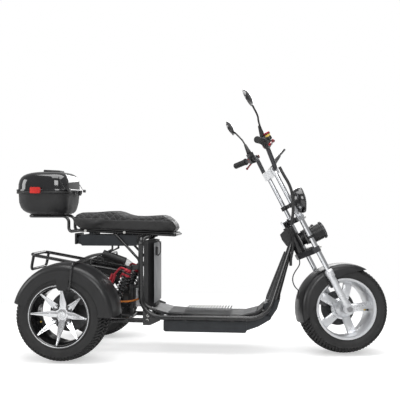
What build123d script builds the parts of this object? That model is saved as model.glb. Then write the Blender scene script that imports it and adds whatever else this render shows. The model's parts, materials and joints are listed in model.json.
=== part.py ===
from build123d import *
from math import cos, radians, sin, sqrt, tan
import os

os.makedirs("parts", exist_ok=True)

# Electric cargo tricycle: one steered wheel in front, two driven wheels behind.
# Millimetres. X points forward, Y to the vehicle's left and Z up. The ground is Z = 0 and
# the origin lies under the middle of the overall length. The steering stands a little to
# the left: its pieces are drawn straight ahead and turned together at the end.

# ---- whole vehicle
WHEELBASE = 1450
REAR_AXLE_X = -664
TRACK_HALF = 364
SEAT_GAP = 0.3
RUNNING = 0.05
SHEET = 3

# ---- wheels and tyres
TYRE_R = 238.5
TYRE_WIDTH = 204
TYRE_SHOULDER_DROP = 11
TYRE_SHOULDER_HALF = 90
TYRE_LUGS = 48
LUG_FROM = 6
LUG_TO = 97
LUG_DEPTH = 6
BEAD_R = 153
RIM_WIDTH = 196
RIM_FLANGE = 11
RIM_FLANGE_THICK = 5
BARREL_BACK_R = 140
BARREL_WALL = 5
LIP_DEPTH = 24
HUB_BOSS_R = 60
HUB_BOSS_THICK = 24
REAR_HUB_FACE = 19
REAR_SPOKES = 8
FRONT_SPOKES = 5
REAR_CLOCK = -4.5
FRONT_CLOCK = 4
SPINDLE_R = 14
SPINDLE_DEPTH = 14
FRONT_HUB_HALF = 70
FRONT_HUB_R = 44
CARRIER_R = 34
DISC_THICK = 4
REAR_DISC_R = 105
FRONT_DISC_R = 95
DISC_HOLES = 12
DISC_HOLE_R = 5

# ---- steering
RAKE = 27.3
STEER_X = 570
STEER_Z = 530
REST_STEER = 13
STEERER_R = 14
HEAD_TUBE_R = 28
HEAD_TUBE_LOW = 16
HEAD_TUBE_LENGTH = 156
YOKE_THICK = 30
CLAMP_GAP = 3
CLAMP_THICK = 26
LEG_OFFSET = 57
LEG_Y = 139
LEG_R = 18
COLLAR_R = 22
COLLAR_THICK = 24
STANCHION_R = 14
COLLAR_W = -141
RISER_Y = 105
RISER_R = 12.5
UPPER_CLAMP_THICK = 43
BAR_R = 12
BAR_W = 485
CLAMP_BELOW_BAR = 30
UPPER_CLAMP_W = BAR_W - CLAMP_BELOW_BAR
GRIP_R = 17
GRIP_LENGTH = 112

# ---- fenders
FENDER_CROWN = 42
FENDER_HALF = 112
REAR_FENDER_GAP = 30.5
REAR_FENDER_R = TYRE_R + REAR_FENDER_GAP
REAR_FENDER_AHEAD = 20
REAR_SKIRT_R = 192
REAR_FENDER_START = 0
REAR_FENDER_SWEEP = 165
FRONT_FENDER_GAP = 8.5
FRONT_FENDER_R = TYRE_R + FRONT_FENDER_GAP
FRONT_FENDER_HALF = 110
FRONT_SKIRT_R = 162
FRONT_FENDER_START = 61
FRONT_FENDER_SWEEP = 136

# ---- frame
FRAME_TUBE_R = 13
FRAME_HALF = 150
COLUMN_X = -303
FLOOR_TUBE_Z = 196
BRIDGE_Z = 470
FLOOR_CROSS_Z = 185
CROSS_TUBE_R = 9
PIVOT_X = -269
PIVOT_Z = 175
PIVOT_BOLT_R = 8
PLATE = 8
RAIL_R = 9
RAIL_HALF = 100
TRAY_HALF = 60
TRAY_Z = 744

# ---- rear axle
ARM_HALF = 126
HOUSING_R = 32
HOUSING_HALF = 232
MOTOR_R = 70
MOTOR_HALF = 90
SHOCK_Y = 143
SHOCK_TOP = (-369, 461)
SHOCK_FOOT = (-441, 296)
SHOCK_EYE_R = 13
SHOCK_PIN_R = 6
EYE_WIDTH = 24
SPRING_R = 21
WIRE_R = 4

# ---- seat
SEAT_HALF = 140
SEAT_PAN = 3

# ---- top box
BOX_HALF = 175
BOX_FLOOR_Z = 757
SEAM_Z = 885
BOX_REAR_X = -1010
BOX_FRONT_X = -720
BOX_WALL = 4
BOX_RIM = 14
HINGE_PIN_R = 4

front_axle_x = REAR_AXLE_X + WHEELBASE
steer_up = Vector(-sin(radians(RAKE)), 0, cos(radians(RAKE)))
steer_forward = Vector(cos(radians(RAKE)), 0, sin(radians(RAKE)))
steer_origin = Vector(STEER_X, 0, STEER_Z)
STEER_AXIS = Axis(steer_origin, steer_up)


def fork_point(forward, left, up):
    """A point given from the steering axis: ahead of it, to the left, and up along it."""
    return steer_origin + steer_forward * forward + Vector(0, left, 0) + steer_up * up


def fork_plane(forward, left, up):
    """Plane square to the steering axis, its local x forward and its local y to the left."""
    return Plane(origin=fork_point(forward, left, up), x_dir=steer_forward, z_dir=steer_up)


def side_plane(y):
    """Upright plane along the vehicle: local x forward, local y up, normal to the right."""
    return Plane(origin=(0, y, 0), x_dir=(1, 0, 0), z_dir=(0, -1, 0))


def hub_plane(x, y, outboard, z=TYRE_R):
    """Wheel plane with its normal pointing outboard, +1 to the left and -1 to the right."""
    return Plane(origin=(x, y, z), x_dir=(1, 0, 0), z_dir=(0, outboard, 0))


def meridian(hub):
    """Half-plane of a wheel: local x is the radius, local y runs outboard along the axle."""
    return Plane(origin=hub.origin, x_dir=hub.x_dir, z_dir=-hub.y_dir)


def bar(points, radii, radius, mode=Mode.ADD):
    """Round bar along straight runs joined by arcs, added to the part being built."""
    with BuildLine() as route:
        if radii:
            FilletPolyline(*points, radius=radii)
        else:
            Line(*points)
    wire = route.wire()
    with BuildSketch(Plane(origin=wire @ 0, z_dir=wire % 0)) as section:
        Circle(radius)
    sweep(section.sketch, path=wire, mode=mode)


def save(part, name, turned=False):
    """Write one piece, with the steering pieces turned to where the handlebar rests."""
    shape = part.rotate(STEER_AXIS, REST_STEER) if turned else part
    shape.label = name
    export_step(shape, f"parts/{name}.step")


# ---------------------------------------------------------------- tyres, wheels, discs
def lug_outline(tip_r, root_r):
    """Points of a toothed ring: each lug has a flat tip, with a groove after it."""
    pitch = 360 / TYRE_LUGS
    points = []
    for lug in range(TYRE_LUGS):
        for share, radius in ((0, root_r), (0.2, tip_r), (0.75, tip_r)):
            angle = radians((lug + share) * pitch)
            points.append((radius * cos(angle), radius * sin(angle)))
    return points


def lug_ring(hub, side):
    """Shoulder lugs of one side of a tyre, tapering outwards as the crown does."""
    with BuildPart() as ring:
        for out, tip_r in ((LUG_FROM, TYRE_R), (LUG_TO, TYRE_R - TYRE_SHOULDER_DROP)):
            with BuildSketch(hub.offset(side * out)):
                Polygon(*lug_outline(tip_r, tip_r - LUG_DEPTH), align=None)
                Circle(BEAD_R + RIM_FLANGE + 25, mode=Mode.SUBTRACT)
        loft(ruled=True)
    return ring.part


def make_tyre(hub):
    bead_half = RIM_WIDTH / 2 - RIM_FLANGE_THICK - SEAT_GAP
    bead_r = BEAD_R + SEAT_GAP
    flange_r = BEAD_R + RIM_FLANGE + 1
    shoulder_r = TYRE_R - TYRE_SHOULDER_DROP - 2 * LUG_DEPTH
    half = TYRE_WIDTH / 2
    wall = [
        (bead_r, bead_half),
        (flange_r, bead_half),
        (flange_r + 9, half - 3),
        (flange_r + 24, half),
        (shoulder_r, TYRE_SHOULDER_HALF),
        (TYRE_R - 2 * LUG_DEPTH, LUG_FROM),
    ]
    with BuildPart() as tyre:
        with BuildSketch(meridian(hub)):
            Polygon(*wall, *[(radius, -out) for radius, out in reversed(wall)], align=None)
        revolve(axis=Axis(hub.origin, hub.z_dir))
        for side in (1, -1):
            add(lug_ring(hub, side))
    return tyre.part


def make_spoke(root, tip):
    """One spoke along local +X: a loft from the hub section out to the rim section."""
    with BuildPart() as spoke:
        for radius, height, width, depth in (root, tip):
            place = Plane(origin=(radius, 0, height), x_dir=(0, 1, 0), z_dir=(1, 0, 0))
            with BuildSketch(place):
                Trapezoid(width, depth, 72)
        loft()
    return spoke.part


def make_rim(hub, spoke, spokes, clock, boss, bore):
    """Cast wheel: barrel, spokes and hub. boss is (radius, low, high), bore (low, high)."""
    flange_r = BEAD_R + RIM_FLANGE
    half = RIM_WIDTH / 2
    boss_r, boss_low, boss_high = boss
    bore_low, bore_high = bore
    with BuildPart(hub) as rim:
        with BuildSketch(meridian(hub)):
            with BuildLine():
                Polyline(
                    (BEAD_R, half),
                    (flange_r, half),
                    (flange_r, half - RIM_FLANGE_THICK),
                    (BEAD_R, half - RIM_FLANGE_THICK),
                    (BEAD_R - 1, half - LIP_DEPTH),
                    (BARREL_BACK_R + BARREL_WALL, 0),
                    (BEAD_R, -half + RIM_FLANGE_THICK),
                    (flange_r, -half + RIM_FLANGE_THICK),
                    (flange_r, -half),
                    (BEAD_R - BARREL_WALL, -half),
                    (BARREL_BACK_R, 0),
                    (BEAD_R - BARREL_WALL - 1, half - LIP_DEPTH),
                    close=True,
                )
            make_face()
        revolve(axis=Axis(hub.origin, hub.z_dir))
        with BuildSketch(hub.offset(boss_low)):
            Circle(boss_r)
        extrude(amount=boss_high - boss_low, taper=4)
        with PolarLocations(0, spokes, clock):
            add(spoke)
        with BuildSketch(hub.offset(bore_low)):
            Circle(SPINDLE_R + RUNNING)
        extrude(amount=bore_high - bore_low, mode=Mode.SUBTRACT)
    return rim.part


def make_disc(hub, disc_r, disc_at, boss_to, boss_r, bore_r):
    """Drilled brake disc with the carrier that joins it to the wheel's hub."""
    with BuildPart(hub) as disc:
        with BuildSketch(hub.offset(disc_at)):
            Circle(disc_r)
            with PolarLocations(disc_r * 0.86, DISC_HOLES):
                Circle(DISC_HOLE_R)
        extrude(amount=DISC_THICK)
        with BuildSketch(hub.offset(min(disc_at, boss_to))):
            Circle(boss_r)
        extrude(amount=abs(boss_to - disc_at))
        with BuildSketch(hub.offset(min(disc_at, boss_to) - 1)):
            Circle(bore_r)
        extrude(amount=abs(boss_to - disc_at) + DISC_THICK + 2, mode=Mode.SUBTRACT)
    return disc.part


spindle_bore = SPINDLE_R + RUNNING
rear_boss_low = REAR_HUB_FACE - HUB_BOSS_THICK
rear_spoke = make_spoke(
    (40, REAR_HUB_FACE - 12, 42, 20), (BEAD_R - BARREL_WALL + 1, RIM_WIDTH / 2 - LIP_DEPTH, 14, 12)
)
rear_disc_at = -RIM_WIDTH / 2 + 3


def make_rear_wheel(name, side):
    hub = hub_plane(REAR_AXLE_X, side * TRACK_HALF, side)
    boss = (HUB_BOSS_R, rear_boss_low, REAR_HUB_FACE)
    bore = (rear_boss_low - 1, rear_boss_low + SPINDLE_DEPTH)
    save(make_tyre(hub), f"rear_{name}_tyre")
    save(
        make_rim(hub, rear_spoke, REAR_SPOKES, REAR_CLOCK, boss, bore),
        f"rear_{name}_rim",
    )
    save(
        make_disc(hub, REAR_DISC_R, rear_disc_at, rear_boss_low, CARRIER_R, spindle_bore),
        f"rear_{name}_disc",
    )


make_rear_wheel("right", -1)
make_rear_wheel("left", 1)

front_axle_z = TYRE_R
front_hub = hub_plane(front_axle_x, 0, -1, front_axle_z)
far_hub = hub_plane(front_axle_x, 0, 1)
front_spoke = make_spoke((36, 0, 56, 34), (BARREL_BACK_R + 2, 0, 36, 26))
front_boss = (FRONT_HUB_R, -FRONT_HUB_HALF, FRONT_HUB_HALF)
front_bore = (-FRONT_HUB_HALF - 1, FRONT_HUB_HALF + 1)
front_disc_at = FRONT_HUB_HALF + 12
save(make_tyre(front_hub), "front_tyre", turned=True)
save(
    make_rim(front_hub, front_spoke, FRONT_SPOKES, FRONT_CLOCK, front_boss, front_bore),
    "front_rim",
    turned=True,
)
save(
    make_disc(far_hub, FRONT_DISC_R, front_disc_at, FRONT_HUB_HALF, 30, spindle_bore),
    "front_disc",
    turned=True,
)

# ---------------------------------------------------------------- fork
axle_fork = Vector(front_axle_x, 0, front_axle_z) - steer_origin
axle_w = axle_fork.dot(steer_up)
MIDDLE_CLAMP_W = HEAD_TUBE_LOW + HEAD_TUBE_LENGTH + CLAMP_GAP
clamp_top = MIDDLE_CLAMP_W + CLAMP_THICK
yoke_reach = LEG_Y + LEG_R + 1

with BuildPart() as bottom_yoke:
    with BuildSketch(fork_plane(0, 0, -YOKE_THICK / 2)):
        with BuildLine():
            Polyline(
                (-32, 28), (30, yoke_reach), (70, yoke_reach), (72, 0),
                (70, -yoke_reach), (30, -yoke_reach), (-32, -28), close=True,
            )
        make_face()
        with Locations((LEG_OFFSET, LEG_Y), (LEG_OFFSET, -LEG_Y)):
            Circle(STANCHION_R + SEAT_GAP, mode=Mode.SUBTRACT)
    extrude(amount=YOKE_THICK)
    with BuildSketch(fork_plane(0, 0, 0)):
        Circle(STEERER_R)
    extrude(amount=MIDDLE_CLAMP_W - SEAT_GAP)
save(bottom_yoke.part, "bottom_yoke", turned=True)

with BuildPart() as middle_clamp:
    with BuildSketch(fork_plane(0, 0, MIDDLE_CLAMP_W)):
        with BuildLine():
            Polyline(
                (-20, 26), (36, yoke_reach), (74, yoke_reach), (80, 60), (80, -60),
                (74, -yoke_reach), (36, -yoke_reach), (-20, -26), close=True,
            )
        make_face()
        with Locations((LEG_OFFSET, LEG_Y), (LEG_OFFSET, -LEG_Y)):
            Circle(STANCHION_R + SEAT_GAP, mode=Mode.SUBTRACT)
    extrude(amount=CLAMP_THICK)
save(middle_clamp.part, "middle_clamp", turned=True)

with BuildPart() as stanchions:
    with BuildSketch(fork_plane(LEG_OFFSET, LEG_Y, COLLAR_W + SEAT_GAP)):
        Circle(STANCHION_R)
    extrude(amount=clamp_top + 8 - COLLAR_W)
    mirror(about=Plane.XZ)
save(stanchions.part, "fork_stanchions", turned=True)

leg_foot = axle_w - 27
with BuildPart() as lowers:
    with BuildSketch(fork_plane(LEG_OFFSET, LEG_Y, COLLAR_W - COLLAR_THICK)):
        Circle(COLLAR_R)
    extrude(amount=COLLAR_THICK)
    with BuildSketch(fork_plane(LEG_OFFSET, LEG_Y, leg_foot)):
        Circle(LEG_R)
    extrude(amount=COLLAR_W - COLLAR_THICK - leg_foot)
    with BuildSketch(side_plane(LEG_Y + LEG_R - 1)):
        with Locations((front_axle_x, front_axle_z)):
            Circle(27)
    extrude(amount=2 * LEG_R - 2)
    with BuildSketch(side_plane(LEG_Y + LEG_R + 1)):
        with Locations((front_axle_x, front_axle_z)):
            Circle(SPINDLE_R + SEAT_GAP)
    extrude(amount=2 * LEG_R + 4, mode=Mode.SUBTRACT)
    mirror(about=Plane.XZ)
save(lowers.part, "fork_lowers", turned=True)

with BuildPart() as front_axle:
    with BuildSketch(side_plane(LEG_Y + LEG_R + 10)):
        with Locations((front_axle_x, front_axle_z)):
            Circle(SPINDLE_R)
    extrude(amount=2 * (LEG_Y + LEG_R + 10))
    for side in (1, -1):
        spacer_y = side * (front_disc_at + DISC_THICK + 4)
        with BuildSketch(hub_plane(front_axle_x, spacer_y, side, front_axle_z)):
            Circle(20)
        extrude(amount=LEG_Y - LEG_R - front_disc_at - DISC_THICK - 4 - SEAT_GAP)
save(front_axle.part, "front_axle", turned=True)

# Brake caliper: a block astride the disc, on an arm from the left fork leg. It is drawn on
# the right and mirrored as it is saved.
caliper_x = front_axle_x - 75
caliper_z = front_axle_z + 45
caliper_out = LEG_Y - LEG_R - SEAT_GAP
with BuildPart() as front_caliper:
    with BuildSketch(side_plane(-front_disc_at + 14)):
        with Locations((caliper_x, caliper_z)):
            RectangleRounded(46, 64, 10, rotation=-31)
    extrude(amount=caliper_out - front_disc_at + 14)
    with BuildSketch(side_plane(-caliper_out + 6)):
        with Locations((caliper_x + 22, caliper_z - 6)):
            RectangleRounded(62, 26, 8)
    extrude(amount=6)
    with BuildSketch(side_plane(-front_disc_at + SEAT_GAP)):
        with Locations((front_axle_x, front_axle_z)):
            Circle(FRONT_DISC_R + 3)
    extrude(amount=DISC_THICK + 2 * SEAT_GAP, mode=Mode.SUBTRACT)
save(front_caliper.part.mirror(Plane.XZ), "front_caliper", turned=True)


# ---------------------------------------------------------------- fenders
def make_fender(hub, inner_r, half_width, skirt_r, start, sweep_angle, skirts):
    """Arched mudguard round a wheel, with a flat skirt at each side named in skirts."""
    edge_r = inner_r - FENDER_CROWN
    with BuildPart() as fender:
        for side in (1, -1):
            reach = skirt_r if side in skirts else edge_r - 6
            with BuildSketch(meridian(hub)):
                with BuildLine():
                    arch = ThreePointArc(
                        (inner_r, 0),
                        (inner_r - 2, side * half_width * 0.4),
                        (inner_r - 8, side * half_width * 0.78),
                    )
                    turn = TangentArc(arch @ 1, (edge_r, side * half_width), tangent=arch % 1)
                    drop = Line(turn @ 1, (reach, side * half_width))
                    foot = Line(drop @ 1, (reach, side * (half_width + SHEET)))
                    rise = Line(foot @ 1, (edge_r, side * (half_width + SHEET)))
                    back = ThreePointArc(
                        (inner_r + SHEET, 0),
                        (inner_r - 2 + SHEET, side * half_width * 0.4),
                        (inner_r - 8 + SHEET, side * half_width * 0.8),
                    )
                    TangentArc(back @ 1, rise @ 1, tangent=back % 1)
                    Line(back @ 0, arch @ 0)
                make_face()
            revolve(axis=Axis(hub.origin, hub.z_dir), revolution_arc=sweep_angle)
    return fender.part.rotate(Axis(hub.origin, hub.z_dir), start)


rear_fender_x = REAR_AXLE_X + REAR_FENDER_AHEAD
skirt_y = TRACK_HALF + FENDER_HALF + SHEET
arch = make_fender(
    hub_plane(rear_fender_x, -TRACK_HALF, -1), REAR_FENDER_R, FENDER_HALF, REAR_SKIRT_R,
    REAR_FENDER_START, REAR_FENDER_SWEEP, (1,),
)
with BuildPart() as rear_fenders:
    add(arch)
    with BuildSketch(side_plane(-skirt_y + SHEET)):
        with BuildLine():
            Polyline(
                (-672, 452), (-604, 452), (-610, 384), (-622, 373), (-656, 373), (-668, 384),
                close=True,
            )
        make_face()
    extrude(amount=SHEET)
    mirror(about=Plane.XZ)
save(rear_fenders.part, "rear_fenders")

arch = make_fender(
    front_hub, FRONT_FENDER_R, FRONT_FENDER_HALF, FRONT_SKIRT_R,
    FRONT_FENDER_START, FRONT_FENDER_SWEEP, (1, -1),
)
fender_side = FRONT_FENDER_HALF + SHEET
pad_at = fork_point(LEG_OFFSET, 0, COLLAR_W - COLLAR_THICK - 34)
# The skirts' lower edge, as (angle, radius) from the hub: deep behind, rising to a tip.
skirt_edge = [
    (front_axle_x + radius * cos(radians(angle)), front_axle_z + radius * sin(radians(angle)))
    for angle, radius in [(60, 244), (67, 223), (80, 198), (96, 181), (115, 168), (134, 163),
                          (150, 164), (165, 171), (180, 186), (192, 216), (198, 242)]
]
with BuildPart() as front_fender:
    add(arch)
    with BuildSketch(side_plane(fender_side + 1)):
        with BuildLine():
            Spline(*skirt_edge)
            Polyline(skirt_edge[-1], (front_axle_x, front_axle_z), skirt_edge[0])
        make_face()
    extrude(amount=2 * fender_side + 2, mode=Mode.SUBTRACT)
    with BuildSketch(Plane(origin=(pad_at.X, fender_side - 1, pad_at.Z), x_dir=steer_forward,
                           z_dir=(0, 1, 0))):
        RectangleRounded(52, 44, 6)
    extrude(amount=LEG_Y - LEG_R - fender_side + 1 - SEAT_GAP)
    with BuildSketch(Plane(origin=(pad_at.X, -fender_side + 1, pad_at.Z), x_dir=steer_forward,
                           z_dir=(0, -1, 0))):
        RectangleRounded(52, 44, 6)
    extrude(amount=LEG_Y - LEG_R - fender_side + 1 - SEAT_GAP)
save(front_fender.part, "front_fender", turned=True)

# ---------------------------------------------------------------- handlebar and controls
with BuildPart() as risers:
    riser_low = clamp_top + SEAT_GAP
    with BuildSketch(fork_plane(LEG_OFFSET, RISER_Y, riser_low)):
        Circle(RISER_R)
    extrude(amount=UPPER_CLAMP_W - riser_low - SEAT_GAP)
    mirror(about=Plane.XZ)
save(risers.part, "risers", turned=True)

CLAMP_LENGTH = 2 * RISER_Y + 50
with BuildPart() as upper_clamp:
    with BuildSketch(fork_plane(LEG_OFFSET, 0, UPPER_CLAMP_W)):
        SlotOverall(CLAMP_LENGTH, 44, rotation=90)
    extrude(amount=UPPER_CLAMP_THICK)
    bar_bore = Plane(
        origin=fork_point(LEG_OFFSET, CLAMP_LENGTH, BAR_W), x_dir=steer_forward, z_dir=(0, -1, 0)
    )
    with BuildSketch(bar_bore):
        Circle(BAR_R + SEAT_GAP)
    extrude(amount=2 * CLAMP_LENGTH, mode=Mode.SUBTRACT)
save(upper_clamp.part, "upper_clamp", turned=True)

bar_points = [
    fork_point(LEG_OFFSET, 0, BAR_W),
    fork_point(LEG_OFFSET, 156, BAR_W),
    fork_point(65, 180, BAR_W + 119),
    fork_point(43, 287, BAR_W + 136),
    fork_point(-18, 410, BAR_W + 152),
]
with BuildPart() as handlebar:
    bar(bar_points, [30, 34, 90], BAR_R)
    mirror(about=Plane.XZ)
save(handlebar.part, "handlebar", turned=True)

grip_dir = (bar_points[-1] - bar_points[-2]).normalized()
grip_start = bar_points[-1] - grip_dir * (GRIP_LENGTH - 6)
with BuildPart() as grips:
    with BuildSketch(Plane(origin=grip_start, z_dir=grip_dir)):
        Circle(GRIP_R)
    extrude(amount=GRIP_LENGTH)
    with BuildSketch(Plane(origin=grip_start, z_dir=grip_dir)):
        Circle(BAR_R + SEAT_GAP)
    extrude(amount=GRIP_LENGTH - 6 + SEAT_GAP, mode=Mode.SUBTRACT)
    mirror(about=Plane.XZ)
save(grips.part, "grips", turned=True)

# Clamped round the bar inboard of each grip: the switch block with its lever perch.
perch_dir = (bar_points[-2] - bar_points[-3]).normalized()
perch = bar_points[-3] + perch_dir * 62
with BuildPart() as switchgear:
    with BuildSketch(Plane(origin=perch - perch_dir * 22, z_dir=perch_dir)):
        Circle(23)
    extrude(amount=44)
    with BuildSketch(Plane(origin=perch + steer_forward * 14, x_dir=perch_dir, z_dir=steer_up)):
        RectangleRounded(36, 34, 6)
    extrude(amount=12, both=True)
    with BuildSketch(Plane(origin=perch, x_dir=perch_dir, z_dir=steer_up)):
        RectangleRounded(40, 34, 6)
    extrude(amount=40)
    with BuildSketch(Plane(origin=perch - perch_dir * 30, z_dir=perch_dir)):
        Circle(BAR_R + SEAT_GAP)
    extrude(amount=60, mode=Mode.SUBTRACT)
    mirror(about=Plane.XZ)
save(switchgear.part, "switchgear", turned=True)

lever_root = perch + steer_forward * (14 + 17 + SEAT_GAP + 9)
lever_tip = fork_point(30, 392, BAR_W + 105)
lever_dir = (lever_tip - lever_root).normalized()
with BuildPart() as levers:
    with BuildSketch(Plane(origin=lever_root, x_dir=steer_up, z_dir=lever_dir)):
        RectangleRounded(14, 10, 3)
    extrude(amount=(lever_tip - lever_root).length)
    with BuildSketch(Plane(origin=lever_tip, x_dir=steer_up, z_dir=lever_dir)):
        Circle(9)
    extrude(amount=12)
    mirror(about=Plane.XZ)
save(levers.part, "levers", turned=True)

# Mirrors: a rubber boot, a bent stalk and the housing, with the glass let in behind.
boot_foot = perch + steer_up * (40 + SEAT_GAP)
boot_top = fork_point(59, 262, BAR_W + 229)
mirror_at = fork_point(50, 370, BAR_W + 370)
with BuildPart() as mirror_housings:
    with BuildSketch(Plane(origin=boot_foot, z_dir=steer_up)):
        Circle(15)
    with BuildSketch(Plane(origin=boot_top, z_dir=steer_up)):
        Circle(8)
    loft()
    bar([boot_top - steer_up * 8, fork_point(66, 310, BAR_W + 267), mirror_at], [40], 6)
    with BuildSketch(Plane(origin=mirror_at - steer_forward * 14, x_dir=(0, 1, 0),
                           z_dir=steer_forward)) as oval:
        Ellipse(74, 50)
    with BuildSketch(Plane(origin=mirror_at + steer_forward * 18, x_dir=(0, 1, 0),
                           z_dir=steer_forward)) as crown:
        Ellipse(48, 30)
    loft([oval.sketch, crown.sketch])
    mirror(about=Plane.XZ)
save(mirror_housings.part, "mirror_housings", turned=True)

with BuildPart() as mirror_glass:
    with BuildSketch(Plane(origin=mirror_at - steer_forward * (14 + SEAT_GAP), x_dir=(0, 1, 0),
                           z_dir=-steer_forward)):
        Ellipse(70, 46)
    extrude(amount=2)
    mirror(about=Plane.XZ)
save(mirror_glass.part, "mirror_glass", turned=True)

# Display: a thin plate on an arm ahead of the upper clamp.
with BuildPart() as display:
    with BuildSketch(side_plane(46)):
        with BuildLine():
            display_side = [(122, 46), (182, 70), (180, 80), (120, 56)]
            Polyline(*[(fork_point(u, 0, BAR_W + w).X, fork_point(u, 0, BAR_W + w).Z)
                       for u, w in display_side],
                     close=True)
        make_face()
    extrude(amount=92)
    with BuildSketch(side_plane(14)):
        with BuildLine():
            arm_side = [(60, 13.3), (84, 13.3), (150, 53), (140, 57), (60, 21)]
            Polyline(*[(fork_point(u, 0, BAR_W + w).X, fork_point(u, 0, BAR_W + w).Z)
                       for u, w in arm_side],
                     close=True)
        make_face()
    extrude(amount=28)
save(display.part, "display", turned=True)

# ---------------------------------------------------------------- lamps
LAMP_R = 72
lamp_dir = Vector(cos(radians(10.7)), 0, sin(radians(10.7)))
lamp_at = fork_point(133, 0, 271)
lamp_plane = Plane(origin=lamp_at, x_dir=(0, 1, 0), z_dir=lamp_dir)
with BuildPart() as headlight_shell:
    with BuildSketch(Plane(origin=lamp_at, x_dir=(0, 1, 0), z_dir=-lamp_plane.y_dir)):
        with BuildLine():
            rim = Polyline((0, 10), (LAMP_R - 4, 10), (LAMP_R, 6), (LAMP_R, -8))
            shell_back = Spline((LAMP_R, -8), (56, -34), (30, -50), (0, -54), tangents=((0, -1), (-1, 0)))
            Line(shell_back @ 1, rim @ 0)
        make_face()
    revolve(axis=Axis(lamp_at, lamp_dir))
    for side in (1, -1):
        with BuildSketch(fork_plane(LEG_OFFSET, side * RISER_Y, 259)):
            Circle(RISER_R + 6)
            with Locations((31, -side * 20)):
                Rectangle(76, 14, rotation=-side * 32.6)
            Circle(RISER_R + SEAT_GAP, mode=Mode.SUBTRACT)
        extrude(amount=24)
save(headlight_shell.part, "headlight_shell", turned=True)

with BuildPart() as headlight_lens:
    with BuildSketch(Plane(origin=lamp_at, x_dir=(0, 1, 0), z_dir=-lamp_plane.y_dir)):
        with BuildLine():
            flat = Line((0, 10 + SEAT_GAP), (LAMP_R - 6, 10 + SEAT_GAP))
            Spline(flat @ 1, (0, 32), tangents=((-0.5, 0.8), (-1, 0)))
            Line((0, 32), (0, 10 + SEAT_GAP))
        make_face()
    revolve(axis=Axis(lamp_at, lamp_dir))
save(headlight_lens.part, "headlight_lens", turned=True)

SPOT_W = 74
SPOT_Y = 86
with BuildPart() as spotlights:
    for side in (1, -1):
        spot_plane = Plane(origin=fork_point(48, side * SPOT_Y, SPOT_W), x_dir=(0, 1, 0),
                           z_dir=steer_forward)
        with BuildSketch(spot_plane):
            Ellipse(28, 34)
        with BuildSketch(spot_plane.offset(30)):
            Ellipse(32, 39)
        with BuildSketch(spot_plane.offset(102)):
            Ellipse(33, 40)
        loft()
        with BuildSketch(fork_plane(LEG_OFFSET, side * LEG_Y, SPOT_W - 7)):
            Circle(STANCHION_R + 6)
            with Locations((12, -side * 18)):
                Rectangle(18, 26)
            Circle(STANCHION_R + SEAT_GAP, mode=Mode.SUBTRACT)
        extrude(amount=14)
save(spotlights.part, "spotlights", turned=True)

# ---------------------------------------------------------------- frame
rail_front = Vector(-121, RAIL_HALF, 641)
rail_back = Vector(-657, RAIL_HALF, 666)


def rail_z(x):
    """Height of the seat rails' centre line at x."""
    share = (x - rail_front.X) / (rail_back.X - rail_front.X)
    return rail_front.Z + share * (rail_back.Z - rail_front.Z)


hoop_z = rail_z(COLUMN_X) - RAIL_R - FRAME_TUBE_R - 3 * SEAT_GAP
neck_foot = (377, FRAME_HALF, FLOOR_TUBE_Z)
neck_top = (519, 20, 620)
frame_route = [
    (COLUMN_X, 0, hoop_z),
    (COLUMN_X, FRAME_HALF, hoop_z),
    (COLUMN_X, FRAME_HALF, FLOOR_TUBE_Z),
    neck_foot,
    neck_top,
]
frame_bends = [40, 120, 130]
bridge_x = COLUMN_X - FRAME_TUBE_R
with BuildPart() as main_frame:
    bar(frame_route, frame_bends, FRAME_TUBE_R)
    mirror(about=Plane.XZ)
    with BuildSketch(fork_plane(0, 0, HEAD_TUBE_LOW)):
        Circle(HEAD_TUBE_R)
    extrude(amount=HEAD_TUBE_LENGTH)
    with BuildSketch(fork_plane(0, 0, HEAD_TUBE_LOW - 1)):
        Circle(STEERER_R + RUNNING)
    extrude(amount=HEAD_TUBE_LENGTH + 2, mode=Mode.SUBTRACT)
    with BuildSketch(side_plane(FRAME_HALF)):
        with Locations((bridge_x, BRIDGE_Z), (-60, FLOOR_CROSS_Z), (200, FLOOR_CROSS_Z)):
            Circle(CROSS_TUBE_R)
    extrude(amount=2 * FRAME_HALF)
    for y in (FRAME_HALF + PLATE / 2, -FRAME_HALF + PLATE / 2):
        with BuildSketch(side_plane(y)):
            with BuildLine():
                Polyline(
                    (-291, 240), (-290, 153), (-250, 153), (-195, 179), (-195, 196), (-240, 214),
                    close=True,
                )
            make_face()
            with Locations((PIVOT_X, PIVOT_Z)):
                Circle(PIVOT_BOLT_R + SEAT_GAP, mode=Mode.SUBTRACT)
        extrude(amount=PLATE)
    for y in (ARM_HALF + 2, -ARM_HALF + 10):
        with BuildSketch(side_plane(y)):
            with BuildLine():
                Polyline(
                    (bridge_x, BRIDGE_Z - 12), (bridge_x, BRIDGE_Z + 8), (-362, 476),
                    (-382, 461), (-362, 446), close=True,
                )
            make_face()
        extrude(amount=12)
    for y in (SHOCK_Y + EYE_WIDTH / 2 + 4, -ARM_HALF):
        with BuildSketch(side_plane(y)):
            with Locations(SHOCK_TOP):
                Circle(SHOCK_PIN_R)
        extrude(amount=SHOCK_Y + EYE_WIDTH / 2 + 4 - ARM_HALF)
save(main_frame.part, "main_frame")


def outline(profile, y, width, mode=Mode.ADD):
    """Solid from a side outline, from y on the left rightwards by width."""
    with BuildSketch(side_plane(y)) as face:
        with BuildLine():
            Polyline(*profile, close=True)
        make_face()
    extrude(face.sketch, amount=width, mode=mode)


def clear_frame():
    """Cut the room that the frame tubes need, on both sides."""
    bar(frame_route, frame_bends, FRAME_TUBE_R + SEAT_GAP, Mode.SUBTRACT)
    far_route = [(x, -y, z) for x, y, z in frame_route]
    bar(far_route, frame_bends, FRAME_TUBE_R + SEAT_GAP, Mode.SUBTRACT)


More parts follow.
